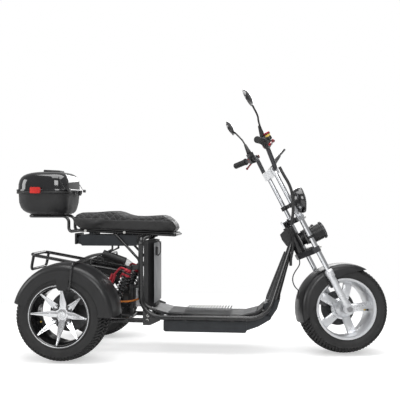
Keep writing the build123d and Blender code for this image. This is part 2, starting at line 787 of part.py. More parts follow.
# ---------------------------------------------------------------- floor and body panels
FLOOR_HALF = 128
FLOOR_THICK = 15
MAT_THICK = 3
MAT_HALF = 112
floor_top = [(-245, 242), (-157, 220), (-11, 211), (249, 209), (323, 229), (358, 258)]
with BuildPart() as floor_panel:
    floor_under = [(x, z - FLOOR_THICK) for x, z in reversed(floor_top)]
    outline(floor_top + floor_under, FLOOR_HALF, 2 * FLOOR_HALF)
save(floor_panel.part, "floor_panel")

with BuildPart() as floor_mat:
    mat_top = [(x, z + MAT_THICK) for x, z in reversed(floor_top[1:5])]
    outline(floor_top[1:5] + mat_top, MAT_HALF, 2 * MAT_HALF)
save(floor_mat.part, "floor_mat")

BATTERY_TOP = FLOOR_CROSS_Z - CROSS_TUBE_R - SEAT_GAP
with BuildPart() as battery_case:
    outline(
        [(-183, BATTERY_TOP), (-183, 122), (-172, 115), (262, 115), (270, 122), (270, BATTERY_TOP)],
        120, 240,
    )
save(battery_case.part, "battery_case")

belly_out = [(270 + SEAT_GAP, 128), (334, 151), (398, 189), (435, 244), (451, 297)]
with BuildPart() as belly_pan:
    outline(belly_out[:3] + [(404, 198), (372, 214), (330, 206), (262, 188), (262, BATTERY_TOP + 1),
            (270 + SEAT_GAP, BATTERY_TOP + 1)], 120, 240)
    outline(belly_out[2:] + [(364, 272), (362, 240), (372, 214)], 94, 188)
    clear_frame()
save(belly_pan.part, "belly_pan")

neck_low = Plane(origin=(406, 0, 286), x_dir=(0.948, 0, -0.318), z_dir=(0.318, 0, 0.948))
neck_high = Plane(origin=(492, 0, 543), x_dir=(0.948, 0, -0.318), z_dir=(0.318, 0, 0.948))
with BuildPart() as neck_cover:
    with BuildSketch(neck_low):
        RectangleRounded(72, 176, 16)
    with BuildSketch(neck_high):
        RectangleRounded(42, 44, 8)
    loft()
    clear_frame()
    with BuildSketch(fork_plane(0, 0, -40)):
        Circle(46)
    extrude(amount=120, mode=Mode.SUBTRACT)
    outline([(300, 200), (520, 200), (520, 317), (451, 297 + SEAT_GAP), (364, 272 + SEAT_GAP),
             (300, 254)], 150, 300, Mode.SUBTRACT)
save(neck_cover.part, "neck_cover")

CONSOLE_HALF = 36
with BuildPart() as console_cover:
    outline(
        [(450, 641), (477, 668), (503, 683), (514, 600), (500, 580), (486, 580), (461, 613)],
        CONSOLE_HALF, 2 * CONSOLE_HALF,
    )
    clear_frame()
    with BuildSketch(fork_plane(0, 0, -40)):
        Circle(HEAD_TUBE_R + SEAT_GAP)
    extrude(amount=260, mode=Mode.SUBTRACT)
save(console_cover.part, "console_cover")

column_back = COLUMN_X + FRAME_TUBE_R + 1
with BuildPart() as seat_column:
    with BuildSketch(Plane.XY.offset(244)):
        with BuildLine():
            Polyline(
                (column_back, 134), (column_back, -134), (column_back + 22, -122), (-236, -60),
                (-236, 60), (column_back + 22, 122), close=True,
            )
        make_face()
    extrude(amount=367)
save(seat_column.part, "seat_column")

# ---------------------------------------------------------------- seat and what is under it
with BuildPart() as seat_frame:
    bar(
        [rail_front, rail_back, (-734, TRAY_HALF, 656), (-734, TRAY_HALF, TRAY_Z),
         (-967, TRAY_HALF, TRAY_Z), (-967, 0, TRAY_Z)],
        [60, 22, 36, 36], RAIL_R,
    )
    with BuildSketch(side_plane(RAIL_HALF)):
        with Locations((-121, rail_z(-121)), (-380, rail_z(-380)), (-600, rail_z(-600))):
            Circle(RAIL_R - 1)
    extrude(amount=RAIL_HALF)
    bar([(-469, RAIL_HALF - 8, rail_z(-469)), (-331, RAIL_HALF - 8, 511)], [], 7)
    with BuildSketch(side_plane(RAIL_HALF - 4)):
        with BuildLine():
            strut_foot = BRIDGE_Z + CROSS_TUBE_R + SEAT_GAP
            Polyline((-338, 516), (-326, 512), (-312, strut_foot), (-324, strut_foot), close=True)
        make_face()
    extrude(amount=8)
    mirror(about=Plane.XZ)
save(seat_frame.part, "seat_frame")

pan_profile = [(x, rail_z(x) + RAIL_R + SEAT_GAP) for x in (-652, -126)]
with BuildPart() as seat_pan:
    outline(pan_profile + [(x, z + SEAT_PAN) for x, z in reversed(pan_profile)], 120, 240)
save(seat_pan.part, "seat_pan")

seat_top = [
    (-698, 731), (-690, 752), (-628, 765), (-511, 771), (-470, 772), (-428, 760), (-395, 749),
    (-309, 742), (-223, 747), (-172, 745), (-130, 722), (-108, 677),
]
seat_low = [(x, rail_z(x) + RAIL_R + SEAT_PAN + 3 * SEAT_GAP) for x in (-126, -656)]
with BuildPart() as seat_cushion:
    with BuildSketch(side_plane(SEAT_HALF)):
        with BuildLine():
            Spline(*seat_top)
            Polyline(seat_top[-1], *seat_low, (-686, 700), seat_top[0])
        make_face()
    extrude(amount=2 * SEAT_HALF)
    with BuildSketch(Plane.XY.offset(600)):
        with BuildLine():
            Polyline((-700, 140), (-420, 140), (-330, 134), (-200, 112), (-112, 76), (-100, 60))
            Line((-100, 60), (-100, -60))
            Polyline((-100, -60), (-112, -76), (-200, -112), (-330, -134), (-420, -140), (-700, -140))
            Line((-700, -140), (-700, 140))
        make_face()
    extrude(amount=300, mode=Mode.INTERSECT)
save(seat_cushion.part, "seat_cushion")

BOX_UNDER_HALF = 84
BOX_UNDER_TOP = 640
with BuildPart() as under_seat_box:
    outline([(-657, BOX_UNDER_TOP), (-657, 586), (-650, 579), (-346, 579), (-339, 586),
             (-339, BOX_UNDER_TOP)], BOX_UNDER_HALF, 2 * BOX_UNDER_HALF)
    for x in (-380, -600):
        lug_top = rail_z(x) - RAIL_R + 1 - SEAT_GAP
        outline([(x - 12, BOX_UNDER_TOP), (x - 12, lug_top), (x + 12, lug_top),
                 (x + 12, BOX_UNDER_TOP)], BOX_UNDER_HALF - 10, 2 * BOX_UNDER_HALF - 20)
    with BuildSketch(Plane(origin=(-657, 0, 612), x_dir=(0, 1, 0), z_dir=(-1, 0, 0))):
        RectangleRounded(140, 52, 12)
    extrude(amount=14)
    with BuildSketch(Plane(origin=(-671, -52, 613), x_dir=(0, 1, 0), z_dir=(-1, 0, 0))):
        Circle(14)
    extrude(amount=26)
save(under_seat_box.part, "under_seat_box")

# ---------------------------------------------------------------- tray and top box
tray_plate_z = TRAY_Z + RAIL_R + SEAT_GAP
with BuildPart() as box_tray:
    with BuildSketch(Plane.XY.offset(tray_plate_z)):
        with Locations((-855, 0)):
            RectangleRounded(196, 170, 14)
            with GridLocations(120, 100, 2, 2):
                Circle(4.5, mode=Mode.SUBTRACT)
    extrude(amount=BOX_FLOOR_Z - tray_plate_z - SEAT_GAP)
save(box_tray.part, "box_tray")

box_sections = [(BOX_FLOOR_Z, -952, -750, 128, 60), (BOX_FLOOR_Z + 36, -980, -734, 158, 70),
                (SEAM_Z - 14, BOX_REAR_X, BOX_FRONT_X, BOX_HALF, 80)]


def box_loft(inset, floor, mode=Mode.ADD):
    """Rounded body that widens upwards, drawn in by inset and starting at the floor height."""
    rings = []
    for z, rear, front, half, corner in box_sections:
        place = Plane(origin=((rear + front) / 2, 0, z + (floor if z == BOX_FLOOR_Z else 0)))
        with BuildSketch(place) as ring:
            RectangleRounded(front - rear - 2 * inset, 2 * (half - inset), corner - inset)
        rings.append(ring.sketch)
    loft(rings, mode=mode)


box_mid_x = (BOX_REAR_X + BOX_FRONT_X) / 2
box_length = BOX_FRONT_X - BOX_REAR_X
with BuildPart() as top_box_base:
    box_loft(0, 0)
    box_loft(BOX_WALL, BOX_WALL, Mode.SUBTRACT)
    with BuildSketch(Plane(origin=(box_mid_x, 0, SEAM_Z - 14))):
        RectangleRounded(box_length, 2 * BOX_HALF, 80)
        RectangleRounded(box_length - 2 * BOX_WALL, 2 * (BOX_HALF - BOX_WALL), 80 - BOX_WALL,
                         mode=Mode.SUBTRACT)
    extrude(amount=14 - SEAT_GAP)
    with BuildSketch(Plane(origin=(box_mid_x, 0, SEAM_Z - 7))):
        RectangleRounded(box_length + 2 * BOX_RIM, 2 * (BOX_HALF + BOX_RIM), 80 + BOX_RIM)
        RectangleRounded(box_length - 2, 2 * BOX_HALF - 2, 80 - 1, mode=Mode.SUBTRACT)
    extrude(amount=7 - SEAT_GAP)
save(top_box_base.part, "top_box_base")

hinge_x = BOX_FRONT_X + BOX_RIM + 8
hinge_z = SEAM_Z
with BuildPart() as box_hinge:
    for y in (-62, 30):
        with BuildSketch(side_plane(y + 32)):
            with Locations((hinge_x, hinge_z)):
                Circle(HINGE_PIN_R)
        extrude(amount=32)
        for low in (y, y + 24):
            outline([(hinge_x - 7.7, SEAM_Z - 7), (hinge_x - 7.7, SEAM_Z - 24), (hinge_x, SEAM_Z - 24),
                     (hinge_x + 6, SEAM_Z - 6), (hinge_x + 6, SEAM_Z + 5), (hinge_x - 5, SEAM_Z + 5),
                     (hinge_x - 5, SEAM_Z - 7)], low + 8, 8)
save(box_hinge.part, "box_hinge")

lid_z = SEAM_Z + SEAT_GAP
with BuildPart() as top_box_lid:
    with BuildSketch(Plane(origin=(box_mid_x, 0, lid_z))):
        RectangleRounded(box_length + 2 * BOX_RIM, 2 * (BOX_HALF + BOX_RIM), 80 + BOX_RIM)
    extrude(amount=9)
    lid_sections = [(lid_z + 9, 1, 80), (lid_z + 74, 5, 78), (lid_z + 97, 34, 60),
                    (lid_z + 107, 84, 40)]
    for z, inset, corner in lid_sections:
        with BuildSketch(Plane(origin=(box_mid_x, 0, z))):
            RectangleRounded(box_length - 2 * inset, 2 * (BOX_HALF - inset),
                             min(corner, box_length / 2 - inset - 1))
    loft(ruled=True)
    with BuildSketch(Plane(origin=(box_mid_x, 0, lid_z - 1))):
        RectangleRounded(box_length - 20, 2 * BOX_HALF - 20, 70)
    extrude(amount=66, mode=Mode.SUBTRACT)
    outline([(-890, lid_z + 104), (-884, lid_z + 121), (-838, lid_z + 121), (-792, lid_z + 108),
             (-792, lid_z + 104)], 48, 96)
    for y in (-62 + 8 + SEAT_GAP, 30 + 8 + SEAT_GAP):
        knuckle_y = y + 16 - 2 * SEAT_GAP
        outline([(hinge_x - 12, SEAM_Z + 2), (hinge_x - 12, SEAM_Z + 9), (hinge_x, SEAM_Z + 7.5),
                 (hinge_x, SEAM_Z + 2)], knuckle_y, 16 - 2 * SEAT_GAP)
        with BuildSketch(side_plane(knuckle_y)) as barrel:
            with Locations((hinge_x, hinge_z)):
                Circle(HINGE_PIN_R + 3.5)
        extrude(barrel.sketch, amount=16 - 2 * SEAT_GAP)
    with BuildSketch(side_plane(100)):
        with Locations((hinge_x, hinge_z)):
            Circle(HINGE_PIN_R + RUNNING)
    extrude(amount=200, mode=Mode.SUBTRACT)
save(top_box_lid.part, "top_box_lid")

with BuildPart() as box_reflector:
    with BuildSketch(Plane(origin=(-883, -BOX_HALF - BOX_RIM - SEAT_GAP, 888), x_dir=(1, 0, 0),
                           z_dir=(0, -1, 0))):
        RectangleRounded(58, 34, 8)
    extrude(amount=10)
save(box_reflector.part, "box_reflector")

# ---------------------------------------------------------------- rear axle and suspension
axle_z = TYRE_R
with BuildPart() as rear_subframe:
    bar([(PIVOT_X, ARM_HALF, PIVOT_Z), (-480, ARM_HALF, PIVOT_Z), (REAR_AXLE_X, ARM_HALF, axle_z)],
        [160], FRAME_TUBE_R)
    outline([(-500, PIVOT_Z), (-410, PIVOT_Z), (-426, 300), (-456, 300)], ARM_HALF + 2, 10)
    with BuildSketch(side_plane(SHOCK_Y + EYE_WIDTH / 2 + 4)):
        with Locations(SHOCK_FOOT):
            Circle(SHOCK_PIN_R)
    extrude(amount=SHOCK_Y + EYE_WIDTH / 2 + 4 - ARM_HALF)
    with BuildSketch(side_plane(FRAME_HALF - PLATE / 2 - SEAT_GAP)):
        with Locations((PIVOT_X, PIVOT_Z)):
            Circle(FRAME_TUBE_R + 3)
    extrude(amount=FRAME_HALF)
    with BuildSketch(side_plane(FRAME_HALF + PLATE / 2 + 2)):
        with Locations((PIVOT_X, PIVOT_Z)):
            Circle(PIVOT_BOLT_R)
    extrude(amount=FRAME_HALF)
    with BuildSketch(side_plane(ARM_HALF + 20)):
        with Locations((REAR_AXLE_X, axle_z)):
            Circle(HOUSING_R + 12)
    extrude(amount=40)
    with BuildSketch(side_plane(ARM_HALF + 20)):
        with Locations((-383, PIVOT_Z)):
            Circle(CROSS_TUBE_R)
    extrude(amount=ARM_HALF + 20)
    with BuildSketch(side_plane(FRAME_HALF)):
        with Locations((REAR_AXLE_X, axle_z)):
            Circle(HOUSING_R + SEAT_GAP)
    extrude(amount=FRAME_HALF - 60, mode=Mode.SUBTRACT)
    mirror(about=Plane.XZ)
save(rear_subframe.part, "rear_subframe")

with BuildPart() as drive_axle:
    with BuildSketch(side_plane(HOUSING_HALF)):
        with Locations((REAR_AXLE_X, axle_z)):
            Circle(HOUSING_R)
    extrude(amount=2 * HOUSING_HALF)
    spindle_tip = TRACK_HALF + rear_boss_low + SPINDLE_DEPTH - SEAT_GAP
    with BuildSketch(side_plane(spindle_tip)):
        with Locations((REAR_AXLE_X, axle_z)):
            Circle(SPINDLE_R)
    extrude(amount=2 * spindle_tip)
    with BuildSketch(side_plane(MOTOR_HALF)):
        with Locations((REAR_AXLE_X, axle_z)):
            Circle(MOTOR_R)
    extrude(amount=2 * MOTOR_HALF)
    with BuildSketch(Plane(origin=(REAR_AXLE_X, 10, axle_z + 20), x_dir=(0, 1, 0), z_dir=(1, 0, 0))):
        Circle(52)
    extrude(amount=170)
save(drive_axle.part, "drive_axle")

shock_dir = Vector(SHOCK_FOOT[0] - SHOCK_TOP[0], 0, SHOCK_FOOT[1] - SHOCK_TOP[1]).normalized()
shock_length = Vector(SHOCK_FOOT[0] - SHOCK_TOP[0], SHOCK_FOOT[1] - SHOCK_TOP[1]).length
shock_head = Vector(SHOCK_TOP[0], SHOCK_Y, SHOCK_TOP[1])


def along_shock(distance):
    """Plane square to the left shock absorber, so far below its upper eye."""
    return Plane(origin=shock_head + shock_dir * distance, x_dir=(0, 1, 0), z_dir=shock_dir)


COLLAR_AT = 31
FOOT_AT = shock_length - 26
with BuildPart() as shock_dampers:
    for eye in (SHOCK_TOP, SHOCK_FOOT):
        with BuildSketch(side_plane(SHOCK_Y + EYE_WIDTH / 2)):
            with Locations(eye):
                Circle(SHOCK_EYE_R)
        extrude(amount=EYE_WIDTH)
    with BuildSketch(along_shock(8)):
        Circle(SPRING_R - WIRE_R - 3)
    extrude(amount=shock_length * 0.55)
    with BuildSketch(along_shock(8)):
        Circle(7)
    extrude(amount=shock_length - 16)
    for at in (COLLAR_AT - 8, FOOT_AT):
        with BuildSketch(along_shock(at)):
            Circle(SPRING_R + WIRE_R + 4)
        extrude(amount=8)
    for eye in (SHOCK_TOP, SHOCK_FOOT):
        with BuildSketch(side_plane(SHOCK_Y + EYE_WIDTH)):
            with Locations(eye):
                Circle(SHOCK_PIN_R + SEAT_GAP)
        extrude(amount=2 * EYE_WIDTH, mode=Mode.SUBTRACT)
    mirror(about=Plane.XZ)
save(shock_dampers.part, "shock_dampers")

spring_low = COLLAR_AT + SEAT_GAP + WIRE_R
spring_span = FOOT_AT - COLLAR_AT - 2 * (SEAT_GAP + WIRE_R)
SPRING_TURNS = 6
with BuildPart() as shock_springs:
    with BuildLine():
        coil = Helix(
            spring_span / SPRING_TURNS, spring_span, SPRING_R,
            center=shock_head + shock_dir * spring_low, direction=shock_dir,
        )
    with BuildSketch(Plane(origin=coil @ 0, z_dir=coil % 0)) as wire:
        RegularPolygon(WIRE_R, 6)
    sweep(wire.sketch, path=coil, is_frenet=True)
    mirror(about=Plane.XZ)
save(shock_springs.part, "shock_springs")

with BuildPart() as shock_reservoirs:
    tank_at = shock_head + shock_dir * 20 + Vector(-76, 0, -16)
    with BuildSketch(Plane(origin=tank_at, x_dir=(0, 1, 0), z_dir=shock_dir)):
        Circle(16)
    extrude(amount=54)
    arm_root = shock_head + shock_dir * 15
    shock_back = Vector(shock_dir.Z, 0, -shock_dir.X)
    bar([arm_root + shock_back * (SPRING_R - WIRE_R - 3 + SEAT_GAP), arm_root + shock_back * 44,
         tank_at + shock_dir * 8], [14], 6)
    mirror(about=Plane.XZ)
save(shock_reservoirs.part, "shock_reservoirs")

with BuildPart() as centre_damper:
    damper_foot = PIVOT_Z + CROSS_TUBE_R + SEAT_GAP
    with BuildSketch(Plane(origin=(-383, 0, damper_foot))):
        Rectangle(16, 22)
    extrude(amount=50)
    with BuildSketch(Plane(origin=(-383, 0, damper_foot + 40))):
        Circle(14)
    extrude(amount=130)
    with BuildSketch(Plane(origin=(-383, 0, damper_foot + 60))):
        with GridLocations(1, 1, 1, 1):
            Circle(19)
    extrude(amount=6)
    outline([(column_back - 94, 350), (column_back - 94, 338), (column_back - SEAT_GAP, 338),
             (column_back - SEAT_GAP, 372), (column_back - 20, 350)], 12, 24)
save(centre_damper.part, "centre_damper")

# ---------------------------------------------------------------- rack, canister, calipers
RACK_HALF = 126
RACK_TUBE_R = 9
STAY_R = 6
stay_x = rear_fender_x + 58
stay_top = TYRE_R + sqrt((REAR_FENDER_R + SHEET + STAY_R + SEAT_GAP) ** 2 - 58 ** 2)
stay_y = skirt_y + STAY_R + 3 * SEAT_GAP
with BuildPart() as rear_rack:
    bar([(-932, 0, 530), (-932, RACK_HALF, 530), (-600, RACK_HALF, 472), (-420, 97, 441),
         (bridge_x - 6, 104, 462)], [36, 120, 60], RACK_TUBE_R)
    bar([(-916, RACK_HALF, 520), (-930, RACK_HALF, 447), (-930, 0, 447)], [26], RACK_TUBE_R - 1)
    with BuildSketch(side_plane(115.5)):
        with Locations((bridge_x, BRIDGE_Z)):
            Circle(CROSS_TUBE_R + 6)
    extrude(amount=15)
    with BuildSketch(side_plane(120)):
        with Locations((bridge_x, BRIDGE_Z)):
            Circle(CROSS_TUBE_R + SEAT_GAP)
    extrude(amount=60, mode=Mode.SUBTRACT)
    bar([(stay_x, 0, stay_top), (stay_x, stay_y, stay_top), (stay_x - 14, stay_y, 376)], [30],
        STAY_R)
    with BuildSketch(Plane.XY.offset(474)):
        with Locations((stay_x, RACK_HALF - 3)):
            Circle(STAY_R - 1)
    extrude(amount=stay_top - 474)
    outline([(stay_x - 4, stay_top - 3), (stay_x + 6, stay_top - 3), (-474, 556),
             (-474, 579 - SEAT_GAP), (-484, 579 - SEAT_GAP), (-484, 562)], 76, 6)
    mirror(about=Plane.XZ)
save(rear_rack.part, "rear_rack")

canister_low = Vector(-400, -98.3, 493.3)
canister_high = Vector(-525, -98.3, 536.3)
canister_dir = (canister_high - canister_low).normalized()
with BuildPart() as canister:
    with BuildSketch(Plane(origin=canister_low, x_dir=(0, 1, 0), z_dir=canister_dir)):
        Circle(22)
    extrude(amount=(canister_high - canister_low).length)
save(canister.part, "canister")

with BuildPart() as rear_calipers:
    caliper_y = TRACK_HALF + rear_disc_at + DISC_THICK
    with BuildSketch(side_plane(caliper_y + 18)):
        with Locations((REAR_AXLE_X + 62, axle_z + 70)):
            RectangleRounded(64, 44, 10, rotation=-45)
    extrude(amount=caliper_y + 18 - HOUSING_HALF + 10)
    with BuildSketch(side_plane(HOUSING_HALF - 2)):
        with Locations((REAR_AXLE_X, axle_z)):
            Circle(HOUSING_R + 10)
        with Locations((REAR_AXLE_X + 36, axle_z + 40)):
            Rectangle(70, 36, rotation=48)
    extrude(amount=8)
    with BuildSketch(side_plane(HOUSING_HALF + 40)):
        with Locations((REAR_AXLE_X, axle_z)):
            Circle(HOUSING_R + SEAT_GAP)
    extrude(amount=80, mode=Mode.SUBTRACT)
    with BuildSketch(side_plane(caliper_y + SEAT_GAP)):
        with Locations((REAR_AXLE_X, axle_z)):
            Circle(REAR_DISC_R + 3)
    extrude(amount=DISC_THICK + 2 * SEAT_GAP, mode=Mode.SUBTRACT)
    mirror(about=Plane.XZ)
save(rear_calipers.part, "rear_calipers")


# ---------------------------------------------------------------- cables
def cord(points, radius, name, turned=False):
    """Cable along straight runs, each bend as wide as its two runs allow."""
    corners = [Vector(*point) for point in points]
    radii = []
    for before, corner, after in zip(corners, corners[1:], corners[2:]):
        run_in = corner - before
        run_out = after - corner
        turn = radians(run_in.get_angle(run_out))
        radii.append(0.45 * min(run_in.length, run_out.length) / tan(turn / 2))
    print(name, "bend radii", [round(bend) for bend in radii])
    with BuildPart() as tube:
        bar(corners, radii, radius)
    save(tube.part, name, turned)


# Drawn where they hang with the handlebar at rest, so they are not turned again.
cord(
    [(450, -124, 1008), (471, -130, 966), (497, -132, 924), (514, -131, 880), (521, -130, 833),
     (522, -129, 785), (519, -127, 742), (512, -118, 700)],
    8, "upper_loom",
)
cord(
    [(510, -112, 684), (518, -88, 650), (521.5, -62, 615), (519.6, -49, 562), (512.9, -46.5, 532),
     (507.6, -42.5, 508), (508, -38, 474)],
    8, "lower_loom",
)
cord(
    [(-291, -60, 300), (-330, -58, 284), (-376, -50, 268), (-430, -40, 264),
     (-491.8, -24, 262)],
    5, "motor_cable",
)

# The brake hose is drawn straight ahead: out of the yoke, down behind it and along the fender.
HOSE_R = 3
hose_on_fender = (FRONT_FENDER_R + SHEET + HOSE_R + SEAT_GAP) / cos(radians(5))
hose_end = [
    (front_axle_x + hose_on_fender * cos(radians(angle)), -10,
     front_axle_z + hose_on_fender * sin(radians(angle)))
    for angle in (158, 168)
]
hose_drop = [
    fork_point(u, -10, w)
    for u, w in [(-28, -15.9), (-32, -32), (-50, -48), (-80, -62), (-106, -82), (-119, -110),
                 (-119, -140)]
]
cord([tuple(point) for point in hose_drop] + hose_end, HOSE_R, "brake_hose", turned=True)
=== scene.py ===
# %% [markdown]
# # An electric cargo tricycle, dressed
# The machine has one steered wheel in front, two driven wheels behind, a long quilted seat
# and a lidded luggage box. Its solid model is loaded first and is never moved or changed:
# every piece made below sits on it, in metres, with +X forward, +Y to the left and +Z up.

# %% load the solid model
import json
from math import atan2, cos, pi, radians, sin

import bmesh
import bpy
from mathutils import Matrix, Vector
from mathutils.bvhtree import BVHTree


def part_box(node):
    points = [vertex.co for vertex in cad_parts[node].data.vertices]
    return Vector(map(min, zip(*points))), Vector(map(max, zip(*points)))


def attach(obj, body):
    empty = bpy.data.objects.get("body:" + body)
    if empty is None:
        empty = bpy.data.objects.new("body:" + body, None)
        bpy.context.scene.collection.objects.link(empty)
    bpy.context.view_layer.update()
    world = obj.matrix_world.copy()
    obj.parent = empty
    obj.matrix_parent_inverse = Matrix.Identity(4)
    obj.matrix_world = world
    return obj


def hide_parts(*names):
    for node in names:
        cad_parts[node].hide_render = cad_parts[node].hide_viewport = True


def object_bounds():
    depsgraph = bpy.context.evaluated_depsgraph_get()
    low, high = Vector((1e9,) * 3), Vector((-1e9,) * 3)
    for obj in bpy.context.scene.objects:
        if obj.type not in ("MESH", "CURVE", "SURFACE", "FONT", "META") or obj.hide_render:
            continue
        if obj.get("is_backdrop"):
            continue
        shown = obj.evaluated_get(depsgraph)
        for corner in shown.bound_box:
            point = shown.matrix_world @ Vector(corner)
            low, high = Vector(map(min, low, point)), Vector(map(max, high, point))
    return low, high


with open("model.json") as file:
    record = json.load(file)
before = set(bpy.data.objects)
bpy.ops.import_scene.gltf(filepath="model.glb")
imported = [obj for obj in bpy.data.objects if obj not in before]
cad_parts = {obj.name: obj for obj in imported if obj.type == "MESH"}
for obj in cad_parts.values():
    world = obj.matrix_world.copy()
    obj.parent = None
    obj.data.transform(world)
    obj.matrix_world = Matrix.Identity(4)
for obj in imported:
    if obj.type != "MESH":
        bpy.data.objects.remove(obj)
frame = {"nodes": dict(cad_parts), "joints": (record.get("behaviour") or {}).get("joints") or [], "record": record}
nodes = frame["nodes"]
cad_low, cad_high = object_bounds()
print("nodes", len(nodes), "box", [round(v, 3) for v in (cad_high - cad_low)])

# %% [markdown]
# ## Camera
# The view is from the right-hand side, a little ahead of the middle and just above the seat.
# A long lens keeps both wheels nearly round, so a focal length of about 65 mm is used on a
# 36 mm sensor, and the camera is nearly level.

# %% camera
scene = bpy.context.scene
camera_data = bpy.data.cameras.new("side_view")
camera_data.lens = 64.8
camera_data.sensor_width = 36
camera = bpy.data.objects.new("side_view", camera_data)
scene.collection.objects.link(camera)
camera.location = (0.497, -4.004, 0.797)
camera.rotation_euler = (radians(90.52), radians(0.07), radians(7.01))
scene.camera = camera
scene.view_settings.view_transform = "Standard"
print("camera at", [round(v, 2) for v in camera.location])

# %% [markdown]
# ## Lamps, sky and floor
# Gloss black shows only what it mirrors, so the lamps are big soft panels: one above, one in
# front of each flank. The sky is a plain pale grey for light and pure white where the camera
# looks straight at it or through glass.


# %% lamps
def soft_panel(name, place, aim, size, power):
    """A square lamp panel at place, facing aim."""
    data = bpy.data.lights.new(name, "AREA")
    data.shape = "RECTANGLE"
    data.size, data.size_y = size
    data.energy = power
    panel = bpy.data.objects.new(name, data)
    panel.location = place
    panel.rotation_euler = (Vector(aim) - Vector(place)).to_track_quat("-Z", "Y").to_euler()
    scene.collection.objects.link(panel)
    return panel


soft_panel("top_panel", (0.1, -0.3, 3.4), (0, 0, 0.5), (3.4, 2.6), 90)
soft_panel("right_panel", (1.2, -4.2, 2.6), (0, 0, 0.5), (2.4, 1.8), 75)
soft_panel("rear_panel", (-3.6, -1.6, 1.9), (-0.4, 0, 0.5), (1.8, 1.8), 45)
soft_panel("left_panel", (0.6, 4.2, 2.4), (0, 0, 0.5), (2.6, 1.8), 60)

# %% a shader node in one call
def joined(tree, kind, inputs=None, **settings):
    """A new node with its settings and inputs; an input may be a value or another's output."""
    node = tree.nodes.new(kind)
    for key, value in settings.items():
        setattr(node, key, value)
    for key, value in (inputs or {}).items():
        if isinstance(value, bpy.types.NodeSocket):
            tree.links.new(value, node.inputs[key])
        else:
            node.inputs[key].default_value = value
    return node


SKY_LIGHT = 0.3
FADE_FROM, FADE_TO = 1.5, 2.6
print("node helper ready")

# %% sky
sky = bpy.data.worlds.new("studio")
sky.use_nodes = True
scene.world = sky
tree = sky.node_tree
background = tree.nodes["Background"]
background.inputs["Color"].default_value = (1, 1, 1, 1)
ray = joined(tree, "ShaderNodeLightPath")
seen = joined(tree, "ShaderNodeMath", {0: ray.outputs["Is Camera Ray"],
              1: ray.outputs["Is Transmission Ray"]}, operation="MAXIMUM")
level = joined(tree, "ShaderNodeMapRange", {"Value": seen.outputs[0], "To Min": SKY_LIGHT,
               "To Max": 1.0})
tree.links.new(level.outputs[0], background.inputs["Strength"])
print("sky", scene.world.name)

# %% floor
bpy.ops.object.select_all(action="DESELECT")
bpy.ops.mesh.primitive_plane_add(size=60, location=(0, 0, cad_low.z - 0.0005))
floor = bpy.context.active_object
floor.name = "studio_floor"
floor_finish = bpy.data.materials.new("studio_floor")
floor_finish.use_nodes = True
tree = floor_finish.node_tree
tree.nodes.clear()
matt = joined(tree, "ShaderNodeBsdfDiffuse", {"Color": (0.80, 0.80, 0.80, 1)})
ray = joined(tree, "ShaderNodeLightPath")
lift = joined(tree, "ShaderNodeMath", {0: ray.outputs["Is Camera Ray"], 1: 0.5},
              operation="MULTIPLY")
glow = joined(tree, "ShaderNodeEmission", {"Strength": lift.outputs[0]})
near = joined(tree, "ShaderNodeAddShader", {0: matt.outputs[0], 1: glow.outputs[0]})
# Away from the tricycle the floor fades into the white sky.
spot = joined(tree, "ShaderNodeTexCoord")
reach = joined(tree, "ShaderNodeVectorMath", {0: spot.outputs["Object"]}, operation="LENGTH")
fade = joined(tree, "ShaderNodeMapRange", {"Value": reach.outputs["Value"],
              "From Min": FADE_FROM, "From Max": FADE_TO})
white = joined(tree, "ShaderNodeEmission", {"Strength": 1.0})
whole = joined(tree, "ShaderNodeMixShader", {0: fade.outputs[0], 1: near.outputs[0],
               2: white.outputs[0]})
out = joined(tree, "ShaderNodeOutputMaterial", {"Surface": whole.outputs[0]})
floor.data.materials.append(floor_finish)
floor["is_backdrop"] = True
print("floor at", round(floor.location.z, 4))

# %% [markdown]
# ## Shared effects
# Moulded plastic, rubber and paint all vary a little over a surface. Each such effect is one
# small node group with its own inputs, so that every material can use it at its own scale:
# a fine grain that tips the surface, a slow drift of gloss, and road dust that gathers low.


# %% node groups
def effect(name, sockets, outputs):
    """An empty node group: sockets are (name, default), outputs are (name, kind)."""
    group = bpy.data.node_groups.new(name, "ShaderNodeTree")
    for label, default in sockets:
        made = group.interface.new_socket(label, in_out="INPUT", socket_type="NodeSocketFloat")
        made.default_value = default
    for label, kind in outputs:
        group.interface.new_socket(label, in_out="OUTPUT", socket_type=kind)
    return group, group.nodes.new("NodeGroupInput"), group.nodes.new("NodeGroupOutput")


print("helpers ready")

# %% grain: small bumps of moulded plastic, paint and rubber
grain, start, end = effect(
    "grain", [("Scale", 900), ("Depth", 0.1)], [("Normal", "NodeSocketVector")]
)
place = joined(grain, "ShaderNodeTexCoord")
dots = joined(grain, "ShaderNodeTexNoise", {"Vector": place.outputs["Object"],
              "Scale": start.outputs["Scale"], "Detail": 2.0, "Roughness": 0.6})
tip = joined(grain, "ShaderNodeBump", {"Strength": start.outputs["Depth"], "Distance": 0.001,
             "Height": dots.outputs["Fac"]})
grain.links.new(tip.outputs["Normal"], end.inputs["Normal"])
print("group", grain.name)

# %% drift: how gloss wanders over a hand-sized patch
drift, start, end = effect(
    "drift", [("Scale", 9), ("Low", 0.3), ("High", 0.5)], [("Value", "NodeSocketFloat")]
)
place = joined(drift, "ShaderNodeTexCoord")
cloud = joined(drift, "ShaderNodeTexNoise", {"Vector": place.outputs["Object"],
               "Scale": start.outputs["Scale"], "Detail": 5.0, "Roughness": 0.62})
span = joined(drift, "ShaderNodeMapRange", {"Value": cloud.outputs["Fac"], "From Min": 0.3,
              "From Max": 0.7, "To Min": start.outputs["Low"], "To Max": start.outputs["High"]})
drift.links.new(span.outputs[0], end.inputs["Value"])
print("group", drift.name)

